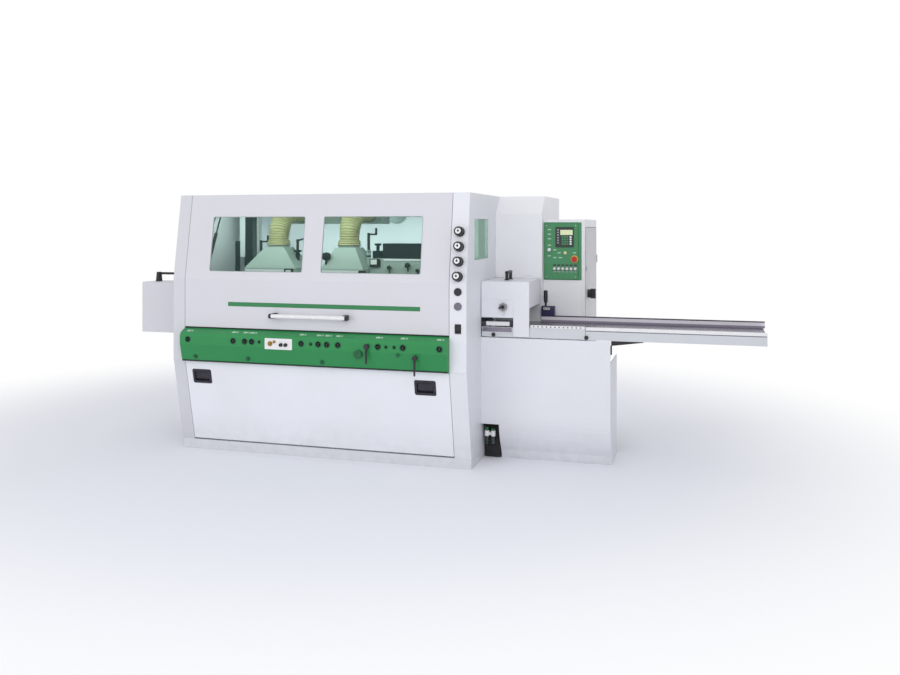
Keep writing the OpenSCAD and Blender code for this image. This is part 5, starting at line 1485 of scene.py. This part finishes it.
@dataclass
class OperatorStation:
    """Control cabinet: the operator panel's fittings and the cabinet's own door, strip and back cover."""

    panel_x: Pair = (1368.0, 1608.0)
    panel_z: Pair = (1166.0, 1560.0)
    panel_y: float = 20.0
    border_x: Pair = (1366.0, 1630.0)
    border_z: Pair = (1161.0, 1565.0)
    border_gap: float = 0.3
    cabinet_x: Pair = (1365.0, 1653.0)
    cabinet_y: Pair = (30.0, 725.0)
    cabinet_h: float = 1585.0
    button_x: float = 1443.0
    button_pitch: float = 29.0
    button_z: float = 1241.0
    button_count: int = 6
    stop: Pair = (1582.0, 1308.0)
    bezel_y: float = 14.0
    key_y: float = 12.4  # Front of the display's bezel.
    key_z: float = 1462.0
    key_pitch: Pair = (17.0, 16.0)
    marks: tuple[Pair, ...] = ((1406.0, 1514.0), (1406.0, 1482.0), (1406.0, 1450.0), (1406.0, 1404.0),
                               (1444.0, 1372.0), (1474.0, 1351.0), (1406.0, 1330.0), (1444.0, 1318.0),
                               (1484.0, 1318.0), (1582.0, 1352.0))
    screw_inset: float = 18.0
    door_z: float = 810.0

    def build(self) -> None:
        """Make the fittings of the panel and of the cabinet."""
        face = facing((0.0, self.panel_y, 0.0), FRONT)
        self.border(face)
        self.display()
        self.lamps()
        self.controls(face)
        self.cabinet()

    def border(self, face: Matrix) -> None:
        """Make the panel's raised edge and the green border beside it.

        Args:
            face: The panel's face.
        """
        edge = Piece("panel_edge", PANEL_FOIL, "frame", "panel_green")
        edge.rim(face, (mid(self.panel_x), mid(self.panel_z)),
                 (span(self.panel_x) - 12.0, span(self.panel_z) - 12.0), 5.0, 2.4, 5.0)
        edge.done()
        wall = facing((0.0, self.cabinet_y[0], 0.0), FRONT)
        border = Piece("panel_border", PANEL_FOIL, "frame", "panel_green")
        left, right = self.border_x
        bottom, top = self.border_z
        beside = self.panel_x[1]
        for x0, x1, z0, z1 in ((beside, right, bottom, top), (left, beside, self.panel_z[1], top),
                               (left, beside, bottom, self.panel_z[0])):
            size = (x1 - x0 - 2 * self.border_gap, z1 - z0 - 2 * self.border_gap)
            border.plate(wall, ((x0 + x1) / 2, (z0 + z1) / 2), size, 2.2, 0.6, 0.5)
        border.done()

    def display(self) -> None:
        """Make the display's bezel and window, and the keys round it."""
        bezel = facing((0.0, self.bezel_y, 0.0), FRONT)
        dark = Piece("display_bezel", DARK_FOIL, "frame")
        dark.plate(bezel, (1514.0, 1461.5), (128.0, 141.0), 1.6, 3.0, 0.5)
        dark.done()
        glass = Piece("display_window", DISPLAY, "frame")
        glass.plate(bezel, (1527.0, 1494.0), (86.0, 36.0), 0.8, 2.0, 0.3, 1.6)
        glass.done()
        keys = Repeater(Head.BLOCK)
        across, down = self.key_pitch
        rows = [self.key_z - down * r for r in range(4)]
        pad = [(1500.0 + across * c, self.key_y, z) for z in rows for c in range(3)]
        keys.row("keypad_keys", pad, bezel, (13.0, 11.5, 1.6), PANEL_FOIL, "frame")
        white = [(1556.0, self.key_y, z) for z in rows]
        keys.row("keypad_white_keys", white, bezel, (13.0, 11.5, 1.6), WHITE_INK, "frame")
        side = [(1468.0, self.key_y, 1512.0 - 18.0 * r) for r in range(6)]
        keys.row("keypad_side_keys", side, bezel, (12.0, 9.0, 1.4), GREY_INK, "frame")

    def lamps(self) -> None:
        """Make the two domed lamps."""
        for label, x, z, r, finish in (("white", 1406.0, 1372.0, 12.0, WHITE_ABS),
                                       ("cream", 1518.0, 1351.0, 11.0, CREAM_ABS)):
            lamp = Piece("lamp_" + label, finish, "frame")
            lamp.turn(facing((x, 8.0, z), FRONT), ((r + 0.6, -8.0), (r + 0.6, 1.0), (r * 0.9, 4.0),
                                                   (r * 0.5, 6.4), (0.6, 7.0)), 32)
            lamp.done()

    def controls(self, face: Matrix) -> None:
        """Make the collars of the buttons and the stop, the bare labels and marks, and the screws.

        Args:
            face: The panel's face.
        """
        xs = [self.button_x + self.button_pitch * i for i in range(self.button_count)]
        collars = [(x, self.panel_y - 1.0, self.button_z) for x in xs]
        Repeater(Head.RING).row("button_collars", collars, face, (11.5, 2.0, 2.0), ZINC, "frame")
        labels = Repeater(Head.BLOCK)
        upper = [(x, self.panel_y, self.button_z + 24.0) for x in xs]
        labels.row("button_labels", upper, face, (22.0, 11.0, 0.8), DARK_FOIL, "frame")
        lower = [(x, self.panel_y, self.button_z - 22.0) for x in xs]
        labels.row("button_lower_labels", lower, face, (20.0, 6.0, 0.6), GREY_INK, "frame")
        marks = [(x, self.panel_y, z) for x, z in self.marks]
        labels.row("panel_marks", marks, face, (22.0, 8.0, 0.4), PALE_INK, "frame")
        ring = Piece("stop_collar", YELLOW_ABS, "frame")
        ring.rim(face, self.stop, (30.0, 30.0), 11.0, 3.0, 15.0)
        ring.done()
        inset = self.screw_inset
        screws = [(x, self.panel_y, z) for x in (self.panel_x[0] + inset, self.panel_x[1] - inset)
                  for z in (self.panel_z[0] + inset, self.panel_z[1] - inset)]
        Repeater(Head.SCREW).row("panel_screws", screws, face, (5.0, 3.2, 2.6), ZINC, "frame")

    def cabinet(self) -> None:
        """Make the corner strip, the door with its seal, hinges, locks and vents, and the back cover."""
        front = facing((0.0, self.cabinet_y[0], 0.0), FRONT)
        side = facing((self.cabinet_x[1], 0.0, 0.0), RIGHT)
        strip = Piece("cabinet_corner_strip", WHITE_ABS, "frame", "white_plastic")
        strip.plate(front, (self.cabinet_x[1] - 12.0, self.cabinet_h / 2 + 20.0),
                    (20.0, self.cabinet_h - 60.0), 1.6, 2.0)
        strip.done()
        middle = mid(self.cabinet_y)
        size = (span(self.cabinet_y) - 44.0, self.cabinet_h - 150.0)
        door = Piece("cabinet_door", DOOR_PAINT, "frame", "grey_paint")
        door.plate(side, (middle, self.door_z), size, 3.0, 6.0, 1.5)
        door.done()
        seam = Piece("cabinet_door_seal", SOFT_BLACK, "frame")
        seam.rim(side, (middle, self.door_z), size, 3.0, 1.2, 6.0)
        seam.done()
        hinges = Piece("cabinet_hinges", DOOR_PAINT, "frame", "grey_paint")
        for z in (self.door_z - 480.0, self.door_z, self.door_z + 480.0):
            hinges.turn(facing((self.cabinet_x[1] + 5.0, self.cabinet_y[1] - 24.0, z - 30.0), TOP, BACK),
                        ((4.0, 0.0), (6.0, 2.0), (6.0, 58.0), (4.0, 60.0)), 20)
        hinges.done()
        locks = Piece("cabinet_locks", ZINC, "frame", "bright_steel")
        for z in (560.0, 1240.0):
            locks.turn(side @ Matrix.Translation((self.cabinet_y[0] + 60.0, z, 3.0)),
                       ((15.0, 0.0), (15.0, 2.0), (12.0, 5.0), (6.0, 5.4), (5.0, 3.6), (0.6, 3.4)), 28)
        locks.done()
        slots = [(self.cabinet_x[1] + 3.0, middle, 250.0 + 16.0 * k) for k in range(12)]
        Repeater(Head.BLOCK).row("cabinet_vents", slots, side, (240.0, 6.0, 1.0), DARK_VOID, "frame")
        back = facing((0.0, self.cabinet_y[1], 0.0), BACK)
        cover = Piece("cabinet_back_cover", CABINET_LIGHTENED_PAINT, "frame", "grey_paint")
        cover.plate(back, (-mid(self.cabinet_x), 820.0), (230.0, 1300.0), 2.4, 5.0, 1.2)
        cover.done()


@dataclass
class MachineRoom:
    """What shows through the windows: hoses, sheets, knobs, a crank, indicators and the beam's trim."""

    hose_x: tuple[float, ...] = (-520.0, 30.0)
    foot_y: float = -300.0
    foot_z: float = 1402.0
    rise: float = 58.0
    bend: float = 180.0
    bend_steps: int = 16
    end_y: float = 60.0
    rib_pitch: float = 15.5
    sleeve_rises: tuple[float, ...] = (0.0, 8.0, 16.0, 24.0, 31.0)
    sheet_z: Pair = (1303.0, 1716.0)
    stars: tuple[Point, ...] = ((-666.0, 1318.0, 30.0), (176.0, 1350.0, 16.5),
                                (-372.0, 1352.0, 26.0))  # X, Z and radius.
    tall_star: Point = (-92.0, -425.0, 1238.0)
    crank_x: Pair = (-372.0, -316.0)  # The crank's shaft and its grip.
    hood_front_y: float = -445.0
    beam_y: float = -330.0
    clamps: tuple[Point, ...] = ((346.0, 1250.0, 14.0), (480.0, 1268.0, 18.0), (552.0, 1232.0, 12.0),
                                 (640.0, 1250.0, 14.0), (820.0, 1256.0, 16.0))  # X, Z and radius.

    def build(self) -> None:
        """Make the machine room's fittings."""
        self.hoses()
        self.column_painted_light_sheets()
        self.star_knobs()
        self.third_crank()
        self.hood_trim()
        self.beam_trim()

    def hoses(self) -> None:
        """Make the ribbed hoses with the sleeve and the clip at the foot of each."""
        routes = [self.route(x) for x in self.hose_x]
        hoses = RibbedHose(69.0, 5.0, self.rib_pitch).make("ribbed_hoses", routes, HOSE, "frame")
        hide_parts("suction_hoses")
        sleeves = [[(x, self.foot_y, self.foot_z + rise) for rise in self.sleeve_rises]
                   for x in self.hose_x]
        RibbedHose(80.0, 3.6, self.rib_pitch).make("hose_sleeves", sleeves, HOSE, "frame")
        clips = [(x, self.foot_y, self.foot_z - 1.0) for x in self.hose_x]
        Repeater(Head.RING).row("hose_clips", clips, facing((0.0, 0.0, 0.0), TOP, BACK), (82.0, 3.0, 3.0),
                                ZINC, "frame")

    def column_painted_light_sheets(self) -> None:
        """Make the pale sheets that cover part of the dark column on the left: painted light, which makes
        part of the column's front and its side read lighter.
        """
        # Painted light: pale sheets make part of the dark column read lighter.
        sheets = Piece("column_painted_light_sheets", HOUSING_LIGHTENED_PAINT, "frame", "grey_paint")
        foot, head = self.sheet_z
        sheets.box((-953.0, -103.0, foot), (-907.0, -100.2, head), 0.6)
        sheets.box((-844.8, -34.0, foot), (-842.0, 38.0, head), 0.6)
        sheets.done()

    def star_knobs(self) -> None:
        """Make the star knobs on their bosses, and the tall one on its stem."""
        stars = Piece("star_knobs", BLACK_ABS, "frame", "black_plastic")
        for x, z, r in self.stars:
            stars.turn(facing((x, self.foot_y, z), TOP, BACK),
                       ((r * 0.7, 0.0), (r, 3.0), (r, 11.0), (r * 0.7, 14.0), (r * 0.45, 15.0)), 40,
                       lobes(5, 0.16))
            stars.turn(facing((x, self.foot_y, z - 40.0), TOP, BACK),
                       ((9.0, 0.0), (15.0, 4.0), (17.0, 16.0), (15.0, 30.0), (9.0, 40.0)), 28)
        stars.turn(facing(self.tall_star, TOP, BACK),
                   ((8.0, 0.0), (8.0, 60.0), (22.0, 66.0), (30.0, 78.0), (30.0, 100.0), (22.0, 112.0),
                    (6.0, 116.0)), 40, lobes(5, 0.1))
        stars.done()

    def third_crank(self) -> None:
        """Make the hand crank that stands still: its shaft, arm and grip."""
        shaft, grip = self.crank_x
        y = self.foot_y
        crank = Piece("third_crank", BLACK_ABS, "frame", "black_plastic")
        crank.turn(facing((shaft, y, 1290.0), TOP, BACK),
                   ((14.0, 0.0), (14.0, 60.0), (9.0, 64.0), (9.0, 136.0), (12.0, 138.0), (12.0, 150.0),
                    (8.0, 153.0)), 24)
        crank.tube(((shaft, y, 1434.0), (shaft + 27.0, y, 1441.0), (grip, y, 1449.0)), 6.0)
        crank.turn(facing((grip, y, 1440.0), TOP, BACK),
                   ((7.0, 0.0), (9.0, 4.0), (9.0, 34.0), (6.0, 38.0)), 20)
        crank.done()

    def hood_trim(self) -> None:
        """Make the indicators and the pale strips on the chip hoods."""
        labels = Piece("indicator_labels", WHITE_ABS, "frame", "white_plastic")
        dial = Piece("hood_indicator", BLACK_ABS, "frame", "black_plastic")
        front = facing((0.0, self.hood_front_y, 0.0), FRONT)
        dial.plate(front, (-368.0, 1216.0), (66.0, 46.0), 16.0, 6.0, 2.0)
        dial.plate(front, (186.0, 1216.0), (52.0, 30.0), 12.0, 5.0, 2.0)
        dial.done()
        strips = Piece("chip_hood_strips", HOUSING_LIGHTENED_PAINT, "frame", "grey_paint")
        strips.plate(front, (-560.0, 1208.0), (310.0, 44.0), 1.6, 1.5, 0.4)
        strips.plate(front, (18.0, 1208.0), (276.0, 44.0), 1.6, 1.5, 0.4)
        strips.done()
        labels.plate(front, (-368.0, 1220.0), (40.0, 18.0), 0.8, 2.0, 0.2, 16.0)
        labels.done()

    def beam_trim(self) -> None:
        """Make the feed beam's indicator, clamps and rail."""
        y = self.beam_y
        beam = facing((0.0, y, 0.0), FRONT)
        holder = Piece("feed_indicator_body", BLACK_ABS, "feed", "black_plastic")
        holder.plate(beam, (238.0, 1280.0), (76.0, 58.0), 14.0, 6.0, 2.0)
        holder.done()
        tag = Piece("feed_indicator_label", WHITE_ABS, "feed", "white_plastic")
        tag.plate(beam, (230.0, 1287.0), (46.0, 34.0), 0.8, 2.0, 0.3, 14.0)
        tag.done()
        clamps = Piece("beam_clamps", BLACK_ABS, "feed", "black_plastic")
        for x, z, r in self.clamps:
            clamps.turn(facing((x, y, z), FRONT),
                        ((r * 0.5, 0.0), (r * 0.5, 8.0), (r, 12.0), (r, 26.0), (r * 0.7, 30.0),
                         (2.0, 31.0)), 30, lobes(5, 0.1))
            clamps.tube(((x, y - 18.0, z), (x + 4.0, y - 20.0, z - 24.0), (x + 6.0, y - 20.0, z - 44.0)),
                        5.0, 12)
        clamps.done()
        rail = Piece("beam_rail", WHITE_ABS, "feed", "white_plastic")
        rail.box((300.0, y - 4.0, 1296.0), (975.0, y + 1.0, 1309.0), 1.0)
        rail.done()

    def route(self, x: float) -> list[Point]:
        """Give the middle line of one hose.

        Args:
            x: Place of the hose across the machine.

        Returns:
            Points from the chip hood's collar to the manifold.
        """
        top = self.foot_z + self.rise
        path: list[Point] = [(x, self.foot_y, self.foot_z), (x, self.foot_y, top)]
        for k in range(1, self.bend_steps + 1):
            a = math.radians(90.0 * k / self.bend_steps)
            path.append((x, self.foot_y + self.bend * (1 - math.cos(a)), top + self.bend * math.sin(a)))
        path.append((x, self.end_y, top + self.bend))
        return path


@dataclass
class OuterSides:
    """Rear, left side and roof: covers, louvres, spigot flanges, sheet joints, plugs and the gap's seal."""

    half_w: float = 1035.0
    rear_y: float = 725.0
    roof_z: float = 1750.0
    joint_x: tuple[float, ...] = (-345.0, 345.0)
    cover_x: tuple[float, ...] = (-690.0, 690.0)
    duct_x: tuple[float, ...] = (-520.0, 30.0)
    duct_z: float = 1640.0
    duct_opening: float = 148.0
    flange: float = 20.0
    bolt_circle_r: float = 84.0
    cover_thick: float = 2.6
    screw_inset: float = 22.0
    lock_inset: float = 70.0
    louvre_pitch: float = 24.0
    plug_x: Pair = (-860.0, 860.0)
    plug_y: Pair = (-220.0, 560.0)

    def build(self) -> None:
        """Make the fittings of the sides away from the operator."""
        self.rear()
        self.left()
        self.roof()

    def cover(self, name: str, face: Matrix, at: Pair, size: Pair, finish: Finish) -> None:
        """Make a bolted cover with its seal, screws and two quarter-turn locks.

        Args:
            name: The cover's name, which starts those of its fittings.
            face: The wall it lies on.
            at: Its middle on the wall.
            size: Width and height.
            finish: Its paint.
        """
        thick = self.cover_thick
        sheet = Piece(name, finish, "frame", "grey_paint")
        sheet.plate(face, at, size, thick, 6.0, 1.2)
        sheet.done()
        seal = Piece(name + "_seal", SOFT_BLACK, "frame")
        seal.rim(face, at, size, 3.0, 1.0, 6.0)
        seal.done()
        reach_x, reach_z = size[0] / 2 - self.screw_inset, size[1] / 2 - self.screw_inset
        places = [tuple(face @ Vector((at[0] + sx * reach_x, at[1] + sz * reach_z, thick)))
                  for sx in (-1, 0, 1) for sz in (-1, 0, 1) if sx or sz]
        Repeater(Head.SCREW).row(name + "_screws", places, face, (8.0, 5.0, 4.0), ZINC, "frame")
        locks = Piece(name + "_locks", BLACK_ABS, "frame", "black_plastic")
        for side in (-1, 1):
            x = at[0] + side * (size[0] / 2 - self.lock_inset)
            spot = face @ Matrix.Translation((x, at[1] - size[1] * 0.12, thick))
            locks.turn(spot, ((20.0, 0.0), (20.0, 3.0), (17.0, 5.0), (11.0, 5.4), (10.0, 4.0), (0.6, 4.0)),
                       32)
            locks.plate(spot, (0.0, 0.0), (7.0, 30.0), 9.0, 3.0, 1.5, 4.0)
        locks.done()

    def louvres(self, name: str, face: Matrix, at: Pair, width: float, count: int) -> None:
        """Make a block of pressed louvres over dark slots.

        Args:
            name: The slots' name.
            face: The cover they are pressed into.
            at: Middle of the lowest slot on the cover.
            width: Width of a slot.
            count: How many there are.
        """
        rows = [face @ Vector((at[0], at[1] + self.louvre_pitch * k, self.cover_thick))
                for k in range(count)]
        blocks = Repeater(Head.BLOCK)
        blocks.row(name, [tuple(p) for p in rows], face, (width, 9.0, 0.8), DARK_VOID, "frame")
        lift = face.to_3x3() @ Vector((0.0, 8.0, 0.0))
        lips = [tuple(p + lift) for p in rows]
        blocks.row(name + "_lips", lips, face, (width + 8.0, 6.0, 5.0), DOOR_PAINT, "frame")

    def rear(self) -> None:
        """Make the rear wall's covers, joints and spigot flanges."""
        back = facing((0.0, self.rear_y, 0.0), BACK)
        for label, x in zip(("left", "right"), self.cover_x):
            self.cover(f"rear_cover_{label}", back, (-x, 640.0), (560.0, 900.0), DOOR_PAINT)
            self.louvres(f"rear_louvres_{label}", back, (-x, 780.0), 300.0, 10)
        joints = Piece("rear_joints", GREY_TRIM, "frame")
        joint_x = (*self.joint_x, self.half_w)
        for x in joint_x:
            joints.plate(back, (-x, 907.0), (3.0, 1650.0), 0.8, 0.5, 0.2)
        joints.done()
        screws = [(x + side * 26.0, self.rear_y, 180.0 + 210.0 * k)
                  for x in joint_x for side in (-1, 1) for k in range(8)]
        Repeater(Head.SCREW).row("rear_joint_screws", screws, back, (7.0, 4.4, 3.4), ZINC, "frame")
        flanges = Piece("spigot_flanges", MACHINE_ENAMEL, "frame")
        bolts: list[Point] = []
        width, r = self.duct_opening, self.bolt_circle_r
        turns = [math.radians(45.0 * k + 22.5) for k in range(8)]
        for x in self.duct_x:
            flanges.rim(back, (-x, self.duct_z), (width, width), self.flange, 5.0, width / 2)
            bolts += [(x + r * math.cos(turn), self.rear_y + 5.0, self.duct_z + r * math.sin(turn))
                      for turn in turns]
        flanges.done()
        Repeater(Head.SCREW).row("spigot_flange_bolts", bolts, back, (6.5, 4.5, 4.0), ZINC, "frame")

    def left(self) -> None:
        """Make the covers of the left side."""
        side = facing((-self.half_w, 0.0, 0.0), LEFT)
        self.cover("left_cover_low", side, (-360.0, 560.0), (560.0, 820.0), HOOD_PAINT)
        self.louvres("left_louvres", side, (-360.0, 660.0), 300.0, 8)
        self.cover("left_cover_high", side, (-20.0, 1410.0), (1080.0, 440.0), HOOD_PAINT)

    def roof(self) -> None:
        """Close the gap behind the hood and mark the roof's sheet joints and its flush plugs."""
        seal = Piece("roof_gap_seal", SOFT_BLACK, "frame")
        seal.prism([(-377.0, 1728.0), (-400.0, 1731.0), (-400.0, 1735.0), (-377.0, 1736.5)], -940.0, 920.0)
        seal.done()
        flat = facing((0.0, 0.0, self.roof_z), TOP, BACK)
        joints = Piece("roof_joints", GREY_TRIM, "frame")
        for x in self.joint_x:
            joints.plate(flat, (x, 172.0), (4.0, 1080.0), 0.3, 0.5, 0.1)
        joints.done()
        plugs = Piece("roof_plugs", BLACK_ABS, "frame", "black_plastic")
        for x in self.plug_x:
            for y in self.plug_y:
                plugs.turn(flat @ Matrix.Translation((x, y, 0.0)),
                           ((26.0, 0.0), (26.0, 0.2), (24.0, 0.3), (2.0, 0.3)), 32)
        plugs.done()


# Studio


@dataclass
class Studio:
    """Pale floor, soft light and the camera at the photograph's place."""

    camera_at: Point = (2.418, -6.039, 1.539)
    yaw: float = 16.0
    lens: float = 34.8
    sensor: float = 36.0
    shift_y: float = -0.1239
    floor_x: Pair = (-40.0, 40.0)
    floor_y: Pair = (-14.0, 60.0)
    fade: Pair = (2.2, 4.6)  # Between these distances in metres the floor runs out into white.

    def build(self) -> None:
        """Set the camera, world, floor and lamps."""
        scene = bpy.context.scene
        scene.view_settings.view_transform = "Standard"
        data = bpy.data.cameras.new("photo_camera")
        data.lens, data.sensor_width, data.shift_y = self.lens, self.sensor, self.shift_y
        camera = bpy.data.objects.new("photo_camera", data)
        camera.location = self.camera_at
        camera.rotation_euler = (math.radians(90.0), 0.0, math.radians(self.yaw))
        scene.collection.objects.link(camera)
        scene.camera = camera
        self.world(scene)
        self.floor(scene)
        self.lamp("key_light", (2.6, -5.8, 3.6), (0.5, -0.4, 0.8), (3.6, 3.6), 100.0)
        self.lamp("fill_light", (-2.4, -5.6, 1.8), (-0.1, -0.4, 0.6), (3.2, 3.2), 44.0)
        self.lamp("rear_light", (0.5, 4.8, 4.4), (0.2, 0.2, 1.0), (3.0, 3.0), 44.0)
        self.lamp("room_light", (-0.08, -0.66, 1.62), (-0.08, -0.1, 1.3), (1.74, 0.2), 7.6, "D6F2E6")
        self.lamp("wall_light", (0.0, 0.3, 1.42), (0.0, 0.72, 1.38), (1.96, 0.3), 7.2, "D0ECE8")
        self.lamp("left_room_light", (-0.74, -0.4, 1.62), (-1.03, -0.4, 1.46), (0.5, 0.2), 1.3, "D6F2E6")

    def world(self, scene: bpy.types.Scene) -> None:
        """Give the world a soft light and a white look to the camera.

        Args:
            scene: The scene.
        """
        world = bpy.data.worlds.new("studio")
        world.use_nodes = True
        tree = world.node_tree
        tree.nodes.clear()
        seen = self.seen(tree)
        soft = add_node(tree, "ShaderNodeBackground", {"Color": linear("F8F8FB"), "Strength": 0.8})
        white = add_node(tree, "ShaderNodeBackground", {"Color": linear("FFFFFF"), "Strength": 1.0})
        mix = add_node(tree, "ShaderNodeMixShader", {0: seen, 1: soft.outputs[0], 2: white.outputs[0]})
        add_node(tree, "ShaderNodeOutputWorld", {"Surface": mix.outputs[0]})
        scene.world = world

    def seen(self, tree: Tree) -> Socket:
        """Add the test for rays that show the background, directly, mirrored or through glass.

        Args:
            tree: The world's tree.

        Returns:
            One where the background shows, else zero.
        """
        rays = add_node(tree, "ShaderNodeLightPath").outputs
        first = add_node(tree, "ShaderNodeMath", {0: rays["Is Camera Ray"], 1: rays["Is Glossy Ray"]},
                         operation="MAXIMUM").outputs[0]
        return add_node(tree, "ShaderNodeMath", {0: first, 1: rays["Is Transmission Ray"]},
                        operation="MAXIMUM").outputs[0]

    def floor(self, scene: bpy.types.Scene) -> None:
        """Lay the floor, which takes the shadow near the machine and runs out into white.

        Args:
            scene: The scene.
        """
        mesh = bpy.data.meshes.new("floor")
        (left, right), (near, far) = self.floor_x, self.floor_y
        corners = [(left, near, 0.0), (right, near, 0.0), (right, far, 0.0), (left, far, 0.0)]
        mesh.from_pydata(corners, [], [(0, 1, 2, 3)])
        made = bpy.data.materials.new("studio_floor")
        made.use_nodes = True
        tree = made.node_tree
        tree.nodes.clear()
        place = add_node(tree, "ShaderNodeTexCoord")
        shader = add_node(tree, "ShaderNodeBsdfPrincipled",
                          {"Base Color": linear("E9EBF1"), "Roughness": 0.85})
        white = add_node(tree, "ShaderNodeEmission", {"Color": linear("FFFFFF"), "Strength": 1.0})
        distance = add_node(tree, "ShaderNodeVectorMath", {0: place.outputs["Object"]}, operation="LENGTH")
        outer = add_node(tree, "ShaderNodeMapRange",
                         {"Value": distance.outputs["Value"], "From Min": self.fade[0],
                          "From Max": self.fade[1]}, interpolation_type="SMOOTHSTEP")
        share = add_node(tree, "ShaderNodeMath", {0: outer.outputs["Result"], 1: self.seen(tree)},
                         operation="MULTIPLY")
        mix = add_node(tree, "ShaderNodeMixShader",
                       {0: share.outputs[0], 1: shader.outputs["BSDF"], 2: white.outputs[0]})
        add_node(tree, "ShaderNodeOutputMaterial", {"Surface": mix.outputs[0]})
        mesh.materials.append(made)
        floor = bpy.data.objects.new("floor", mesh)
        scene.collection.objects.link(floor)

    def lamp(self, name: str, at: Point, target: Point, size: Pair, power: float,
             tint: str = "FFFFFF") -> None:
        """Hang a rectangular soft lamp.

        Args:
            name: Its name.
            at: Its place in metres.
            target: The point it looks at.
            size: Its two edges in metres.
            power: Its power in watts.
            tint: Its colour, as sRGB hex.
        """
        data = bpy.data.lights.new(name, "AREA")
        data.shape, data.energy = "RECTANGLE", power
        data.size, data.size_y = size
        data.color = linear(tint)[:3]
        lamp = bpy.data.objects.new(name, data)
        lamp.location = at
        lamp.rotation_euler = (Vector(target) - Vector(at)).to_track_quat("-Z", "Y").to_euler()
        lamp.visible_camera = lamp.visible_glossy = lamp.visible_transmission = False
        bpy.context.scene.collection.objects.link(lamp)


def dress_solids(nodes: dict[str, bpy.types.Object]) -> None:
    """Give every carried-over solid its finish.

    Args:
        nodes: Node name to object.
    """
    for name, solid in nodes.items():
        finish = NODE_FINISH.get(name)
        if finish is None:
            finish = WHITE_ABS if name.startswith("push_button") else BLACK_ABS
        if not solid.material_slots:
            solid.data.materials.append(finish.material())
        for slot in solid.material_slots:
            slot.material = finish.material()
        LOG.info("solid %s in %s", name, finish.name)


def main() -> None:
    """Load the frame and build every sub-assembly in order."""
    logging.basicConfig(level=logging.INFO, format="%(name)s: %(message)s")
    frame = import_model()
    Studio().build()
    dress_solids(frame["nodes"])
    for part in (FrontHood(), ControlBelt(), ControlColumn(), FrontFlap(), InfeedSide(), OperatorStation(),
                 MachineRoom(), OuterSides()):
        part.build()
        LOG.info("built %s", type(part).__name__)


if __name__ == "__main__":
    main()
